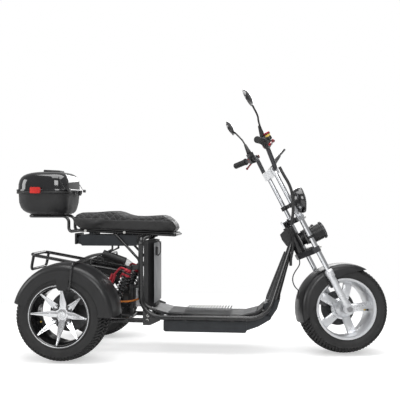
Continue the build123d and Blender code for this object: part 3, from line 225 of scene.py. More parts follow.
# %% dust: a mask that grows towards the road
dust, start, end = effect(
    "dust", [("Reach", 0.4), ("Amount", 0.4)], [("Mask", "NodeSocketFloat")]
)
place = joined(dust, "ShaderNodeTexCoord")
height = joined(dust, "ShaderNodeSeparateXYZ", {"Vector": place.outputs["Object"]})
fall = joined(dust, "ShaderNodeMapRange", {"Value": height.outputs["Z"], "From Min": 0.0,
              "From Max": start.outputs["Reach"], "To Min": 1.0, "To Max": 0.0})
specks = joined(dust, "ShaderNodeTexNoise", {"Vector": place.outputs["Object"], "Scale": 46.0,
                "Detail": 7.0, "Roughness": 0.7})
spread = joined(dust, "ShaderNodeMapRange", {"Value": specks.outputs["Fac"], "From Min": 0.42,
                "From Max": 0.72})
part = joined(dust, "ShaderNodeMath", {0: fall.outputs[0], 1: spread.outputs[0]},
              operation="MULTIPLY")
share = joined(dust, "ShaderNodeMath", {0: part.outputs[0], 1: start.outputs["Amount"]},
               operation="MULTIPLY")
dust.links.new(share.outputs[0], end.inputs["Mask"])
print("group", dust.name)

# %% [markdown]
# ## Finishes
# One function makes a finish from a colour, its worn colour and the values of the shared
# effects. Paints get a clear coat, and brushed steel a scratch direction. What is the same all
# over a surface is typed on the shader itself.

# %% the finish maker
DUST_COLOUR = (0.17, 0.155, 0.135, 1)


def finish(name, colour, second, gloss, grain_scale=700, grain_depth=0.1, metal=0.0, coat=0.0,
           dust_reach=0.0, dust_amount=0.35, drift_scale=9, mottle=14, stretch=None):
    """A painted, moulded or metal surface; gloss is its lowest and highest roughness."""
    material = bpy.data.materials.new(name)
    material.use_nodes = True
    tree = material.node_tree
    shader = tree.nodes["Principled BSDF"]
    shader.inputs["Metallic"].default_value = metal
    shader.inputs["Coat Weight"].default_value = coat
    shader.inputs["Coat Roughness"].default_value = 0.06
    place = joined(tree, "ShaderNodeTexCoord")
    mapped = joined(tree, "ShaderNodeMapping", {"Vector": place.outputs["Object"]})
    if stretch:
        mapped.inputs["Scale"].default_value = stretch
    patch = joined(tree, "ShaderNodeTexNoise", {"Vector": mapped.outputs[0], "Scale": mottle,
                   "Detail": 6.0, "Roughness": 0.65})
    ramp = joined(tree, "ShaderNodeMapRange", {"Value": patch.outputs["Fac"], "From Min": 0.35,
                  "From Max": 0.68})
    mixed = joined(tree, "ShaderNodeMix", {"Factor": ramp.outputs[0]}, data_type="RGBA")
    mixed.inputs["A"].default_value = (*colour, 1)
    mixed.inputs["B"].default_value = (*second, 1)
    surface = mixed.outputs["Result"]
    rough = joined(tree, "ShaderNodeGroup", node_tree=drift)
    rough.inputs["Scale"].default_value = drift_scale
    rough.inputs["Low"].default_value, rough.inputs["High"].default_value = gloss
    roughness = rough.outputs["Value"]
    if dust_reach:
        low = joined(tree, "ShaderNodeGroup", node_tree=dust)
        low.inputs["Reach"].default_value = dust_reach
        low.inputs["Amount"].default_value = dust_amount
        dusty = joined(tree, "ShaderNodeMix", {"Factor": low.outputs["Mask"], "A": surface},
                       data_type="RGBA")
        dusty.inputs["B"].default_value = DUST_COLOUR
        surface = dusty.outputs["Result"]
        dull = joined(tree, "ShaderNodeMapRange", {"Value": low.outputs["Mask"],
                      "To Min": roughness, "To Max": 0.8})
        roughness = dull.outputs[0]
    tree.links.new(surface, shader.inputs["Base Color"])
    tree.links.new(roughness, shader.inputs["Roughness"])
    tipped = joined(tree, "ShaderNodeGroup", node_tree=grain)
    tipped.inputs["Scale"].default_value = grain_scale
    tipped.inputs["Depth"].default_value = grain_depth
    tree.links.new(tipped.outputs["Normal"], shader.inputs["Normal"])
    return material


def add_height(material, node_output, strength, distance=0.001):
    """Lay a pattern's height over the grain that a finish already has."""
    tree = material.node_tree
    shader = tree.nodes["Principled BSDF"]
    below = shader.inputs["Normal"].links[0].from_socket
    bump = joined(tree, "ShaderNodeBump", {"Strength": strength, "Distance": distance,
                  "Height": node_output, "Normal": below})
    tree.links.new(bump.outputs["Normal"], shader.inputs["Normal"])


print("finish maker ready")

# %% paints and plastics
black_paint = finish("black_paint", (0.006, 0.006, 0.0065), (0.010, 0.010, 0.011), (0.2, 0.36),
                     240, 0.05, coat=0.45, dust_reach=0.3, dust_amount=0.05)
satin_black = finish("satin_black", (0.007, 0.007, 0.0075), (0.012, 0.012, 0.013), (0.32, 0.46),
                     620, 0.12, coat=0.1, dust_reach=0.4, dust_amount=0.05)
slate = finish("slate_moulding", (0.013, 0.016, 0.020), (0.019, 0.023, 0.028), (0.36, 0.5),
               700, 0.14, dust_reach=0.4, dust_amount=0.06)
box_black = finish("box_matte", (0.009, 0.009, 0.0095), (0.015, 0.015, 0.016), (0.42, 0.58),
                   1100, 0.35)
lid_gloss = finish("lid_gloss", (0.006, 0.006, 0.007), (0.01, 0.01, 0.012), (0.05, 0.12),
                   60, 0.015, coat=1.0)
axle_paint = finish("axle_paint", (0.009, 0.009, 0.0095), (0.015, 0.015, 0.015), (0.35, 0.55),
                    420, 0.2, dust_reach=0.4, dust_amount=0.12)
spring_gloss = finish("spring_gloss", (0.01, 0.01, 0.011), (0.018, 0.018, 0.02), (0.14, 0.26),
                      200, 0.04, coat=0.7)
bar_grey = finish("bar_grey", (0.035, 0.036, 0.04), (0.055, 0.056, 0.06), (0.28, 0.42),
                  500, 0.1, metal=0.4)
caliper_grey = finish("caliper_grey", (0.16, 0.155, 0.16), (0.24, 0.235, 0.24), (0.38, 0.52),
                      380, 0.35, metal=0.5, dust_reach=0.5)
lamp_gloss = finish("lamp_gloss", (0.008, 0.008, 0.009), (0.014, 0.014, 0.015), (0.12, 0.2),
                    900, 0.003, coat=1.0)
print("paints", len(bpy.data.materials))

# %% metals
silver = finish("cast_silver", (0.74, 0.75, 0.77), (0.80, 0.81, 0.83), (0.24, 0.36), 500, 0.04,
                metal=0.6, dust_reach=0.2, dust_amount=0.03, mottle=40)
machined = finish("machined_silver", (0.80, 0.81, 0.83), (0.87, 0.88, 0.90), (0.16, 0.28),
                  900, 0.03, metal=0.85, mottle=60)
brushed = finish("brushed_steel", (0.30, 0.30, 0.31), (0.40, 0.40, 0.41), (0.28, 0.42), 900, 0.1,
                 metal=1.0, mottle=60, stretch=(1, 1, 9))
dark_steel = finish("dark_steel", (0.06, 0.06, 0.062), (0.11, 0.11, 0.112), (0.3, 0.45), 900, 0.1,
                    metal=0.9, mottle=60)
chrome = finish("chrome_plate", (0.78, 0.80, 0.83), (0.86, 0.87, 0.89), (0.06, 0.12), 900, 0.002,
                metal=1.0)
anodised_red = finish("anodised_red", (0.34, 0.022, 0.034), (0.42, 0.035, 0.05), (0.3, 0.42),
                      500, 0.06, metal=0.6)
dark_red = finish("lever_red", (0.18, 0.012, 0.016), (0.26, 0.02, 0.026), (0.25, 0.4), 500, 0.08,
                  metal=0.7)
zinc = finish("zinc_bolt", (0.58, 0.58, 0.57), (0.7, 0.69, 0.66), (0.24, 0.4), 600, 0.08,
              metal=1.0, mottle=90)
print("metals", silver.name, chrome.name)

# %% rubbers and cable sleeves
tyre_rubber = finish("tyre_rubber", (0.010, 0.010, 0.0105), (0.016, 0.016, 0.0165), (0.5, 0.66),
                     380, 0.2, dust_reach=0.4, dust_amount=0.06, mottle=22)
soft_rubber = finish("soft_rubber", (0.012, 0.012, 0.012), (0.02, 0.02, 0.02), (0.5, 0.66),
                     800, 0.25)
mat_rubber = finish("mat_rubber", (0.045, 0.047, 0.05), (0.075, 0.078, 0.082), (0.5, 0.68),
                    900, 0.4, dust_reach=0.5, dust_amount=0.5, mottle=30)
sleeve_black = finish("sleeve_black", (0.012, 0.012, 0.013), (0.02, 0.02, 0.02), (0.34, 0.5),
                      700, 0.12)
sleeve_orange = finish("sleeve_orange", (0.62, 0.17, 0.02), (0.74, 0.24, 0.03), (0.36, 0.5),
                       700, 0.1)
print("rubbers", tyre_rubber.name)

# %% leather: small creased cells pressed into it, with a faint sheen
leather = finish("quilted_leather", (0.008, 0.0078, 0.008), (0.013, 0.0125, 0.013), (0.34, 0.46),
                 1500, 0.25)
tree = leather.node_tree
place = joined(tree, "ShaderNodeTexCoord")
cells = joined(tree, "ShaderNodeTexVoronoi", {"Vector": place.outputs["Object"], "Scale": 520.0},
               feature="DISTANCE_TO_EDGE")
crease = joined(tree, "ShaderNodeMapRange", {"Value": cells.outputs["Distance"], "From Min": 0.0,
                "From Max": 0.22})
add_height(leather, crease.outputs[0], 0.35, 0.0006)
leather.node_tree.nodes["Principled BSDF"].inputs["Sheen Weight"].default_value = 0.05
thread = finish("grey_thread", (0.16, 0.16, 0.165), (0.24, 0.24, 0.245), (0.6, 0.75), 1800, 0.6,
                mottle=300)
print("leather", leather.name)


# %% lamps: glass, lenses and mirror
def clear(name, colour, rough, ior=1.5):
    """Clear plastic or glass, with a faint ripple so that it catches light."""
    material = finish(name, colour, tuple(v * 0.94 for v in colour), (rough, rough + 0.05),
                      160, 0.02)
    shader = material.node_tree.nodes["Principled BSDF"]
    shader.inputs["Transmission Weight"].default_value = 0.92
    shader.inputs["IOR"].default_value = ior
    return material


lamp_glass = clear("lamp_glass", (0.93, 0.95, 0.97), 0.02)
mirror_silver = finish("mirror_silver", (0.86, 0.88, 0.9), (0.9, 0.91, 0.93), (0.01, 0.03), 60,
                       0.004, metal=1.0)
red_lens = finish("red_lens", (0.5, 0.012, 0.01), (0.62, 0.03, 0.02), (0.14, 0.24), 400, 0.05,
                  coat=0.8)
amber = finish("amber_button", (0.62, 0.42, 0.06), (0.7, 0.5, 0.1), (0.25, 0.35), 500, 0.06)
led_white = finish("led_white", (0.82, 0.84, 0.86), (0.9, 0.91, 0.92), (0.2, 0.3), 500, 0.05,
                   coat=0.6)
screen = finish("screen_dark", (0.01, 0.012, 0.016), (0.014, 0.017, 0.022), (0.05, 0.1), 60,
                0.01, coat=1.0)
print("clear parts ready")

# %% dress the solid model's own nodes
DRESS = {
    "black_frame": black_paint, "black_plastic": satin_black, "slate_plastic": slate,
    "floor_rubber": mat_rubber, "seat_leather": leather, "box_base": box_black,
    "box_lid": lid_gloss, "red_lens": red_lens, "silver": silver, "steel": brushed,
    "chrome": chrome, "bar_grey": bar_grey, "grip_rubber": soft_rubber, "dark_red": dark_red,
    "mirror": mirror_silver, "lamp_gloss": lamp_gloss, "lamp_glass": lamp_glass,
    "tyre": tyre_rubber, "axle_black": axle_paint, "caliper_grey": caliper_grey,
    "spring_black": spring_gloss, "reservoir_red": anodised_red, "cable_black": sleeve_black,
    "cable_orange": sleeve_orange,
}
for entry in frame["record"]["subparts"]:
    dressed = nodes[entry["node"]].data.materials
    dressed.clear()
    dressed.append(DRESS[entry["material_slot"]])
print("dressed", len(nodes), "nodes in", len(DRESS), "finishes")

# %% [markdown]
# ## Workshop tools
# The same few moves make almost every piece: draw a profile and spin it, shape a bevelled
# block, bend a tube through points. Each is written once here. A finished piece keeps its
# object at the origin, as the solid model's nodes do, so its place is put into its mesh.


# %% choosing and placing
def clear_choice():
    """Leave edit mode and deselect everything."""
    if bpy.context.object and bpy.context.object.mode != "OBJECT":
        bpy.ops.object.mode_set(mode="OBJECT")
    bpy.ops.object.select_all(action="DESELECT")


def take(piece):
    """Choose one piece alone and make it the active one."""
    clear_choice()
    piece.select_set(True)
    bpy.context.view_layer.objects.active = piece


def modify(piece, kind, **values):
    """Change a piece by a modifier with these values."""
    take(piece)
    change = piece.modifiers.new(kind.lower(), kind)
    for key, value in values.items():
        setattr(change, key, value)
    bpy.ops.object.modifier_apply(modifier=change.name)
    return piece


def edit(name):
    """Name the new primitive and open it for editing with nothing chosen."""
    piece = bpy.context.active_object
    piece.name = piece.data.name = name
    bpy.ops.object.mode_set(mode="EDIT")
    bpy.ops.mesh.select_mode(type="VERT")
    bpy.ops.mesh.select_all(action="DESELECT")
    return piece


def choose(piece, test):
    """Choose the points whose place passes the test, with the faces between them."""
    mesh = bmesh.from_edit_mesh(piece.data)
    for point in mesh.verts:
        point.select = bool(test(point.co))
    mesh.select_mode = {"VERT"}
    mesh.select_flush_mode()
    bmesh.update_edit_mesh(piece.data)


def put(piece, matrix):
    """Turn and move a finished shape, and keep that in its mesh."""
    take(piece)
    piece.matrix_world = matrix @ piece.matrix_world
    bpy.ops.object.transform_apply(location=True, rotation=True, scale=True)
    return piece


def soften(piece, width=0.001, segments=2, angle=35):
    """Round a piece's hard edges."""
    return modify(piece, "BEVEL", width=width, segments=segments, limit_method="ANGLE",
                  angle_limit=radians(angle))


def smooth(piece, angle=38):
    """Shade a piece smooth, with edges sharper than the angle kept."""
    take(piece)
    bpy.ops.object.shade_smooth_by_angle(angle=radians(angle))
    return piece


def dress(piece, body, material, angle=38):
    """Shade a piece, give it its finish and let it ride on its body."""
    smooth(piece, angle)
    piece.data.materials.clear()
    piece.data.materials.append(material)
    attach(piece, body)
    return piece


print("choosing and placing ready")

# %% frames of reference
def facing(place, axis, across=(1, 0, 0)):
    """Matrix that takes local Z to the axis and local X as near as can be to across."""
    z = Vector(axis).normalized()
    y = z.cross(Vector(across)).normalized()
    x = y.cross(z)
    turn = Matrix((x, y, z)).transposed().to_4x4()
    return Matrix.Translation(Vector(place)) @ turn


joints = {joint["name"]: joint for joint in frame["joints"]}
steer_pivot = Vector(joints["steering_turn"]["pos_m"])
steer_up = Vector(joints["steering_turn"]["axis"])
steer_forward = Vector((steer_up.z, 0, -steer_up.x))
REST_STEER = radians(13)
at_rest = (Matrix.Translation(steer_pivot) @ Matrix.Rotation(REST_STEER, 4, steer_up)
           @ Matrix.Translation(-steer_pivot))


def fork(forward, left, up):
    """A point of the steering in millimetres from its axis, where it rests."""
    straight = steer_pivot + (steer_forward * forward + Vector((0, left, 0)) + steer_up * up) / 1000
    return at_rest @ straight


fork_ahead = at_rest.to_3x3() @ steer_forward
fork_left = at_rest.to_3x3() @ Vector((0, 1, 0))
fork_up = at_rest.to_3x3() @ steer_up
LEG_AHEAD, LEG_SIDE = 57, 139
print("steering axis", [round(v, 3) for v in steer_up])


# %% turned shapes
def turned(name, profile, matrix=Matrix(), steps=48, closed=False):
    """Draw a profile as (radius, along) in millimetres, point by point, and spin it."""
    clear_choice()
    bpy.ops.mesh.primitive_plane_add(size=0.01)
    piece = edit(name)
    bpy.ops.mesh.select_all(action="SELECT")
    bpy.ops.mesh.merge(type="CENTER")
    points = [Vector((radius, 0, along)) / 1000 for radius, along in profile]
    bpy.ops.transform.translate(value=points[0])
    for before, after in zip(points, points[1:] + points[:1] * closed):
        bpy.ops.mesh.extrude_vertices_move(TRANSFORM_OT_translate={"value": after - before})
    bpy.ops.mesh.select_all(action="SELECT")
    bpy.ops.mesh.spin(steps=steps, angle=2 * pi, center=(0, 0, 0), axis=(0, 0, 1))
    bpy.ops.mesh.select_all(action="SELECT")
    bpy.ops.mesh.remove_doubles(threshold=0.00002)
    bpy.ops.mesh.normals_make_consistent(inside=False)
    return put(piece, matrix)


def block(name, size, matrix=Matrix(), edge=1.5, segments=2):
    """A block with rounded edges, its size in millimetres."""
    clear_choice()
    bpy.ops.mesh.primitive_cube_add(size=1)
    piece = edit(name)
    bpy.ops.mesh.select_all(action="SELECT")
    bpy.ops.transform.resize(value=[v / 1000 for v in size])
    bpy.ops.mesh.bevel(offset=edge / 1000, segments=segments, affect="EDGES")
    return put(piece, matrix)


def bent(name, points, radius, order=3, sides=3):
    """A tube of a radius in millimetres along a smooth line through points in metres."""
    data = bpy.data.curves.new(name, "CURVE")
    data.dimensions = "3D"
    data.bevel_depth = radius / 1000
    data.bevel_resolution = sides
    data.use_fill_caps = True
    data.resolution_u = 10
    line = data.splines.new("NURBS")
    line.points.add(len(points) - 1)
    for point, place in zip(line.points, points):
        point.co = (*place, 1)
    line.order_u = order
    line.use_endpoint_u = True
    piece = bpy.data.objects.new(name, data)
    scene.collection.objects.link(piece)
    return piece


def solid_tube(name, points, radius, order=3, sides=3):
    """The same tube made a mesh, for a rigid bar or wire."""
    take(bent(name, points, radius, order, sides))
    bpy.ops.object.convert(target="MESH")
    return bpy.context.active_object


def gathered(name, piece, matrices, keep=False):
    """Copies of one model, each with its own mesh, joined into one piece."""
    copies = []
    for matrix in matrices:
        copy = piece.copy()
        copy.data = piece.data.copy()
        scene.collection.objects.link(copy)
        copy.matrix_world = matrix
        copies.append(copy)
    clear_choice()
    for copy in copies:
        copy.select_set(True)
    bpy.context.view_layer.objects.active = copies[0]
    bpy.ops.object.transform_apply(location=True, rotation=True, scale=True)
    if len(copies) > 1:
        bpy.ops.object.join()
    joined_piece = bpy.context.active_object
    joined_piece.name = joined_piece.data.name = name
    if not keep:
        bpy.data.objects.remove(piece)
    return joined_piece


def merged(name, pieces):
    """Join finished pieces of one finish into one object."""
    clear_choice()
    for piece in pieces:
        piece.select_set(True)
    bpy.context.view_layer.objects.active = pieces[0]
    if len(pieces) > 1:
        bpy.ops.object.join()
    whole = bpy.context.active_object
    whole.name = whole.data.name = name
    return whole


def spun(angle, axis="Z"):
    """A turn in degrees."""
    return Matrix.Rotation(radians(angle), 4, axis)


def moved(x=0, y=0, z=0):
    """A shift in millimetres."""
    return Matrix.Translation(Vector((x, y, z)) / 1000)


def bolt_head(name, radius=6, height=4.5):
    """A socket-head bolt: a rounded disc with a round well."""
    well = height * 0.35
    return turned(name, [(0, 0), (radius, 0), (radius, height * 0.75), (radius * 0.9, height),
                         (radius * 0.55, height), (radius * 0.5, well), (0, well)], steps=24)


print("turned shapes, blocks and tubes ready")

# %% [markdown]
# ## Wheels and tyres
# Three fat tyres of the same size stand on 12-inch wheels. A tyre is a spun carcass with rows
# of tread blocks laid round it: one block of each row is modelled and then copied. Wheels are
# built flat, with the axle along local Z and the outer face up, and then stood in place.

# %% where the wheels stand
BLOCKS = 76
rear_places = {}
for name, side in (("right", -1), ("left", 1)):
    centre = Vector(joints[f"rear_{name}_spin"]["pos_m"])
    rear_places[name] = facing(centre, (0, side, 0), (-side, 0, 0))
front_axis = Vector(joints["front_wheel_spin"]["axis"])
front_centre = Vector(joints["front_wheel_spin"]["pos_m"])
front_place = facing(front_centre, -front_axis, at_rest.to_3x3() @ Vector((1, 0, 0)))
print("wheels", [round(v, 3) for v in front_centre])

# %% carcass
CARCASS = [(153.5, -92), (160, -93), (166, -94), (176, -100), (184, -102), (196, -102.3),
           (204, -101.5), (206, -102.2), (209, -100.5), (213.5, -94), (217.5, -80), (222.5, -55),
           (227, -25), (228, 0)]
carcass_ring = CARCASS + [(radius, -along) for radius, along in reversed(CARCASS[:-1])]
tyre_carcass = turned("tyre_carcass", carcass_ring, steps=96, closed=True)
print("carcass", len(tyre_carcass.data.polygons), "faces")


# %% tread blocks
def tread_row(name, size, radius, across, lean, slant, shift):
    """One row: blocks of a size at a radius, standing across the tread, leaned and slanted."""
    one = block(name, size, edge=1.2, segments=1)
    stand = moved(radius, 0, across) @ spun(lean, "Y") @ spun(slant, "X")
    step = 360 / BLOCKS
    return gathered(name, one, [spun((index + shift) * step) @ stand for index in range(BLOCKS)])


rows = []
for side in (1, -1):
    rows.append(tread_row("shoulder", (13, 10.5, 38), 220.4, side * 79, side * -19, side * 14, 0))
    rows.append(tread_row("flank", (8, 9, 18), 213.5, side * 96.8, side * -60, side * 6, 0.5))
    rows.append(tread_row("middle", (12, 10, 25), 227.3, side * 46, side * -8, side * -24, 0.5))
    rows.append(tread_row("centre", (12, 11, 23), 230.9, side * 16, side * -2, side * 30, 0.15))
tyre = merged("fat_tyre", [tyre_carcass, *rows])
print("tyre faces", len(tyre.data.polygons))

# %% three tyres
tyre_places = {"front_tyre": ("front_wheel", front_place)}
for name in ("right", "left"):
    tyre_places[f"rear_{name}_tyre"] = (f"rear_wheel_{name}", rear_places[name])
for node, (body, place) in tyre_places.items():
    worn = gathered(f"tread_{node}", tyre, [place], keep=True)
    dress(worn, body, tyre_rubber, 30)
    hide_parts(node)
bpy.data.objects.remove(tyre)
print("tyres", list(tyre_places))

# %% [markdown]
# ## Rear wheels
# The barrel is gloss black and deep. Eight spokes leave the hub in leaf shapes, widest a third
# of the way out, and rise to thin points on the wheel's outer edge; their faces are cut bright
# and meet in a ridge. One spoke starts as a grid, whose rows are then drawn to width and height.

# %% barrel and bright edge
BARREL = [(153, 98), (163.5, 98), (164, 95), (158, 92.5), (153, 91), (151, 74), (146.5, 60),
          (145, 0), (147, -60), (152, -90), (164, -93), (164, -98), (149, -98), (143, -60),
          (140.5, 0), (141.5, 52), (147.5, 66), (148, 92)]
barrel = turned("rear_barrel", BARREL, steps=96, closed=True)
bright_edge = turned("rear_bright_edge", [(155.5, 96.4), (155.5, 98.7), (158.5, 98.9),
                                          (158.5, 96.4)], steps=96, closed=True)
print("barrel", len(barrel.data.polygons))


# %% one spoke
def spoke(name, rows, ridge, depth):
    """A leaf drawn from rows of (radius, half width, height), with a ridge down its middle."""
    clear_choice()
    bpy.ops.mesh.primitive_grid_add(x_subdivisions=len(rows) - 1, y_subdivisions=4, size=2)
    piece = edit(name)
    step = 2 / (len(rows) - 1)
    for index in reversed(range(len(rows))):
        radius, half, height = rows[index]
        flat = -1 + index * step
        choose(piece, lambda co, flat=flat: abs(co.x - flat) < 0.01 and abs(co.z) < 0.0001)
        bpy.ops.transform.resize(value=(1, half / 1000, 1), center_override=(flat, 0, 0))
        bpy.ops.transform.translate(value=(10 + radius / 1000 - flat, 0, height / 1000))
    bpy.ops.mesh.select_all(action="SELECT")
    bpy.ops.transform.translate(value=(-10, 0, 0))
    choose(piece, lambda co: abs(co.y) < 0.0001)
    bpy.ops.transform.translate(value=(0, 0, ridge / 1000))
    bpy.ops.mesh.select_all(action="SELECT")
    bpy.ops.mesh.extrude_region_move(TRANSFORM_OT_translate={"value": (0, 0, -depth / 1000)})
    bpy.ops.transform.resize(value=(1, 0.8, 1), center_override=(0, 0, 0))
    bpy.ops.mesh.select_all(action="SELECT")
    bpy.ops.mesh.normals_make_consistent(inside=False)
    return piece


LEAF = [(20, 12, 27), (38, 15.5, 29), (52, 18, 33), (68, 17, 41), (86, 13.5, 51), (108, 9.5, 64),
        (132, 6.4, 79), (150, 4.2, 92), (157, 3.4, 97)]
STAR_TURN = -4.5
one = spoke("leaf_spoke", LEAF, 2.2, 9)
clear_choice()
rear_spokes = gathered("rear_spokes", one, [spun(45 * n + STAR_TURN) for n in range(8)])
print("spokes", len(rear_spokes.data.polygons))

# %% hub and lug nuts
hub_cap = turned("rear_hub", [(0, 36), (9, 36), (10, 34), (17, 34), (18, 31), (27, 30), (30, 27),
                              (30, 20), (34, 14), (34, -4), (0, -4)], steps=48)
pocket = turned("lug_pocket", [(0, 26), (10, 26), (10.5, 37), (14, 38.5), (16.5, 36), (17, 8),
                               (0, 8)], steps=28)
nut = turned("lug_nut", [(0, 36.5), (5, 36.5), (8.6, 34), (8.8, 25), (0, 25)], steps=6)
LUG_R = 50
lug_turns = [spun(45 + 90 * n + STAR_TURN) @ moved(LUG_R, 0, 0) for n in range(4)]
pockets = gathered("lug_pockets", pocket, lug_turns)
nuts = gathered("lug_nuts", nut, lug_turns)
print("hub", len(hub_cap.data.polygons))

# %% the two rear wheels
for name, place in rear_places.items():
    body = f"rear_wheel_{name}"
    black = merged(f"{name}_barrel", [gathered("part_a", barrel, [place], keep=True),
                                      gathered("part_b", pockets, [place], keep=True)])
    dress(black, body, lamp_gloss, 30)
    bright = merged(f"{name}_spokes", [
        gathered("part_c", rear_spokes, [place], keep=True),
        gathered("part_d", bright_edge, [place], keep=True),
        gathered("part_e", hub_cap, [place], keep=True)])
    soften(bright, 0.0006, 1, 28)
    dress(bright, body, machined, 26)
    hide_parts(f"rear_{name}_rim")
    dress(gathered(f"{name}_lug_nuts", nuts, [place], keep=True), body, chrome, 20)
for node in ("rear_right_disc", "rear_left_disc", "front_disc"):
    nodes[node].data.materials[0] = dark_steel
for used in (barrel, pockets, rear_spokes, bright_edge, hub_cap, nuts):
    bpy.data.objects.remove(used)
print("rear wheels done")

# %% [markdown]
# ## Front wheel
# The steered wheel is bright all over: a broad rolled lip, a deep barrel and five flat plank
# spokes that leave a small drum. A rubber valve with a yellow cap stands on the barrel.

# %% lip, barrel and drum
FRONT_BARREL = [(153, 98), (163.5, 98), (164, 94), (160, 91), (155, 91.5), (153.5, 84),
                (150, 78), (147.5, 62), (144, 44), (143, 0), (147, -60), (152, -90),
                (164, -93), (164, -98), (149, -98), (143, -60), (139, 0), (139.5, 40),
                (143.5, 60), (146.5, 78), (149, 90)]
front_barrel = turned("front_barrel", FRONT_BARREL, steps=96, closed=True)
drum = turned("front_drum", [(14.2, 62), (24, 62), (26, 58), (36, 50), (44, 46), (48, 40),
                             (48, 14), (56, 12), (58, 8), (58, -8), (48, -12), (44, -60),
                             (30, -69), (14.2, -69)], steps=64, closed=True)
print("front barrel", len(front_barrel.data.polygons))

# %% five plank spokes
plank = block("plank", (108, 42, 15), moved(91, 0, 8), edge=3, segments=3)
take(plank)
bpy.ops.object.mode_set(mode="EDIT")
choose(plank, lambda co: co.x > 0.1)
bpy.ops.transform.resize(value=(1, 1.16, 1.2), center_override=(0.142, 0, 0.008))
choose(plank, lambda co: co.x < 0.1)
bpy.ops.transform.resize(value=(1, 1, 1.5), center_override=(0.04, 0, 0.008))
clear_choice()
planks = gathered("planks", plank, [spun(72 * n + 4) for n in range(5)])
front_bright = merged("front_wheel_casting", [front_barrel, drum, planks])
put(front_bright, front_place)
dress(front_bright, "front_wheel", silver, 30)
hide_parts("front_rim")
print("front casting", len(front_bright.data.polygons))

# %% valves
stem = turned("valve_stem", [(0, 30), (3.4, 30), (3.6, 8), (6.5, 4), (7, 0), (0, 0)], steps=20)
cap = turned("valve_cap", [(0, 37), (3, 37), (3.9, 35), (4.2, 28), (0, 28)], steps=16)
lie = moved(141, 0, 28) @ spun(-58, "Y")
for wheel, body, place, angle in (
    ("front", "front_wheel", front_place, -3),
    ("right", "rear_wheel_right", rear_places["right"], 198),
    ("left", "rear_wheel_left", rear_places["left"], 198),
):
    seat = place @ spun(angle) @ lie
    dress(gathered(f"{wheel}_valve", stem, [seat], keep=True), body, soft_rubber)
    dress(gathered(f"{wheel}_valve_cap", cap, [seat], keep=True), body, amber)
bpy.data.objects.remove(stem)
bpy.data.objects.remove(cap)
print("valves", 3)

# %% [markdown]
# ## Seat
# The long seat is foam under black leatherette. Its smooth sides and its diamond-quilted top
# meet in a sewn line. The solid model's cushion gives the outer size, so its mesh is copied,
# made even by a voxel remesh and swelled a little by cloth pressure, as foam swells under a
# tight cover. The quilting is pressed in afterwards, because remeshing would erase it.

# %% a copy of the cushion, a little smaller
SEAT_LOW, SEAT_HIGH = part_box("seat_cushion")
cushion = nodes["seat_cushion"].copy()
cushion.data = cushion.data.copy()
cushion.name = cushion.data.name = "quilted_seat"
for key in list(cushion.keys()):
    del cushion[key]
cushion.parent = None
scene.collection.objects.link(cushion)
take(cushion)
bpy.ops.object.mode_set(mode="EDIT")
bpy.ops.mesh.select_all(action="SELECT")
bpy.ops.mesh.remove_doubles(threshold=0.00002)
middle = (SEAT_LOW + SEAT_HIGH) / 2
bpy.ops.transform.resize(value=(0.985, 0.955, 0.94), center_override=(middle.x, 0, SEAT_LOW.z))
modify(cushion, "REMESH", mode="VOXEL", voxel_size=0.006)
print("cushion", len(cushion.data.vertices), "points")


# %% swell it under its cover
def swell(piece, cap, frames=20, pressure=4.0):
    """Cloth pressure with no gravity; no point may move further than the cap, in metres."""
    before = [point.co.copy() for point in piece.data.vertices]
    cover = piece.modifiers.new("cover", "CLOTH")
    cover.settings.use_pressure = True
    cover.settings.uniform_pressure_force = pressure
    cover.settings.effector_weights.gravity = 0
    cover.settings.tension_stiffness = 22
    cover.settings.bending_stiffness = 3
    for moment in range(1, frames + 1):
        scene.frame_set(moment)
    bpy.context.view_layer.objects.active = piece
    bpy.ops.object.modifier_apply(modifier="cover")
    for point, rest in zip(piece.data.vertices, before):
        step = point.co - rest
        if step.length > cap:
            point.co = rest + step.normalized() * cap
    scene.frame_set(1)


swell(cushion, 0.007)
modify(cushion, "SMOOTH", iterations=9, factor=0.5)
modify(cushion, "SUBSURF", levels=1, render_levels=1)
print("swelled, Z", round(max(p.co.z for p in cushion.data.vertices), 4))

# %% [markdown]
# The cover is cut from flat leatherette, so a place on it is best told by its station along
# the seat and its distance round the cross-section from the middle line. Rays cast outwards
# from inside the cushion measure that distance once every 10 mm.

# %% measure the cross-sections
skin = BVHTree.FromPolygons([point.co.copy() for point in cushion.data.vertices],
                            [tuple(face.vertices) for face in cushion.data.polygons])
CORE_Z = 0.705
FIRST_X, LAST_X, STRIP = SEAT_LOW.x + 0.02, SEAT_HIGH.x - 0.03, 0.01
SECTION_TURN = 4
ANGLES = [radians(-110 + SECTION_TURN * step) for step in range(56)]
SEAM_HEIGHT, SEAM_FALL = 0.742, 0.045


def outward(x, angle):
    """The skin's point and normal seen from the core line at an angle from straight up."""
    ray = Vector((0, sin(angle), cos(angle)))
    start = Vector((x, 0, CORE_Z)) + ray * 0.001
    hit = skin.ray_cast(start, ray)
    return hit[0], hit[1]


sections = []
for number in range(int((LAST_X - FIRST_X) / STRIP) + 1):
    x = FIRST_X + number * STRIP
    spots = [outward(x, angle)[0] or Vector((x, 0, CORE_Z)) for angle in ANGLES]
    rounds = [0.0]
    for before, after in zip(spots, spots[1:]):
        rounds.append(rounds[-1] + (after - before).length)
    centre = (rounds[27] + rounds[28]) / 2
    sections.append([length - centre for length in rounds])
print("cross-sections", len(sections))


def between(values, share):
    """The value at a share of the way along a list, drawn straight between two entries."""
    low = min(max(int(share), 0), len(values) - 2)
    part = min(max(share - low, 0), 1)
    return values[low] * (1 - part) + values[low + 1] * part


def section_at(x):
    """The distances round the skin at a station, between two measured sections."""
    share = (x - FIRST_X) / STRIP
    low = min(max(int(share), 0), len(sections) - 2)
    part = min(max(share - low, 0), 1)
    return [a * (1 - part) + b * part for a, b in zip(sections[low], sections[low + 1])]


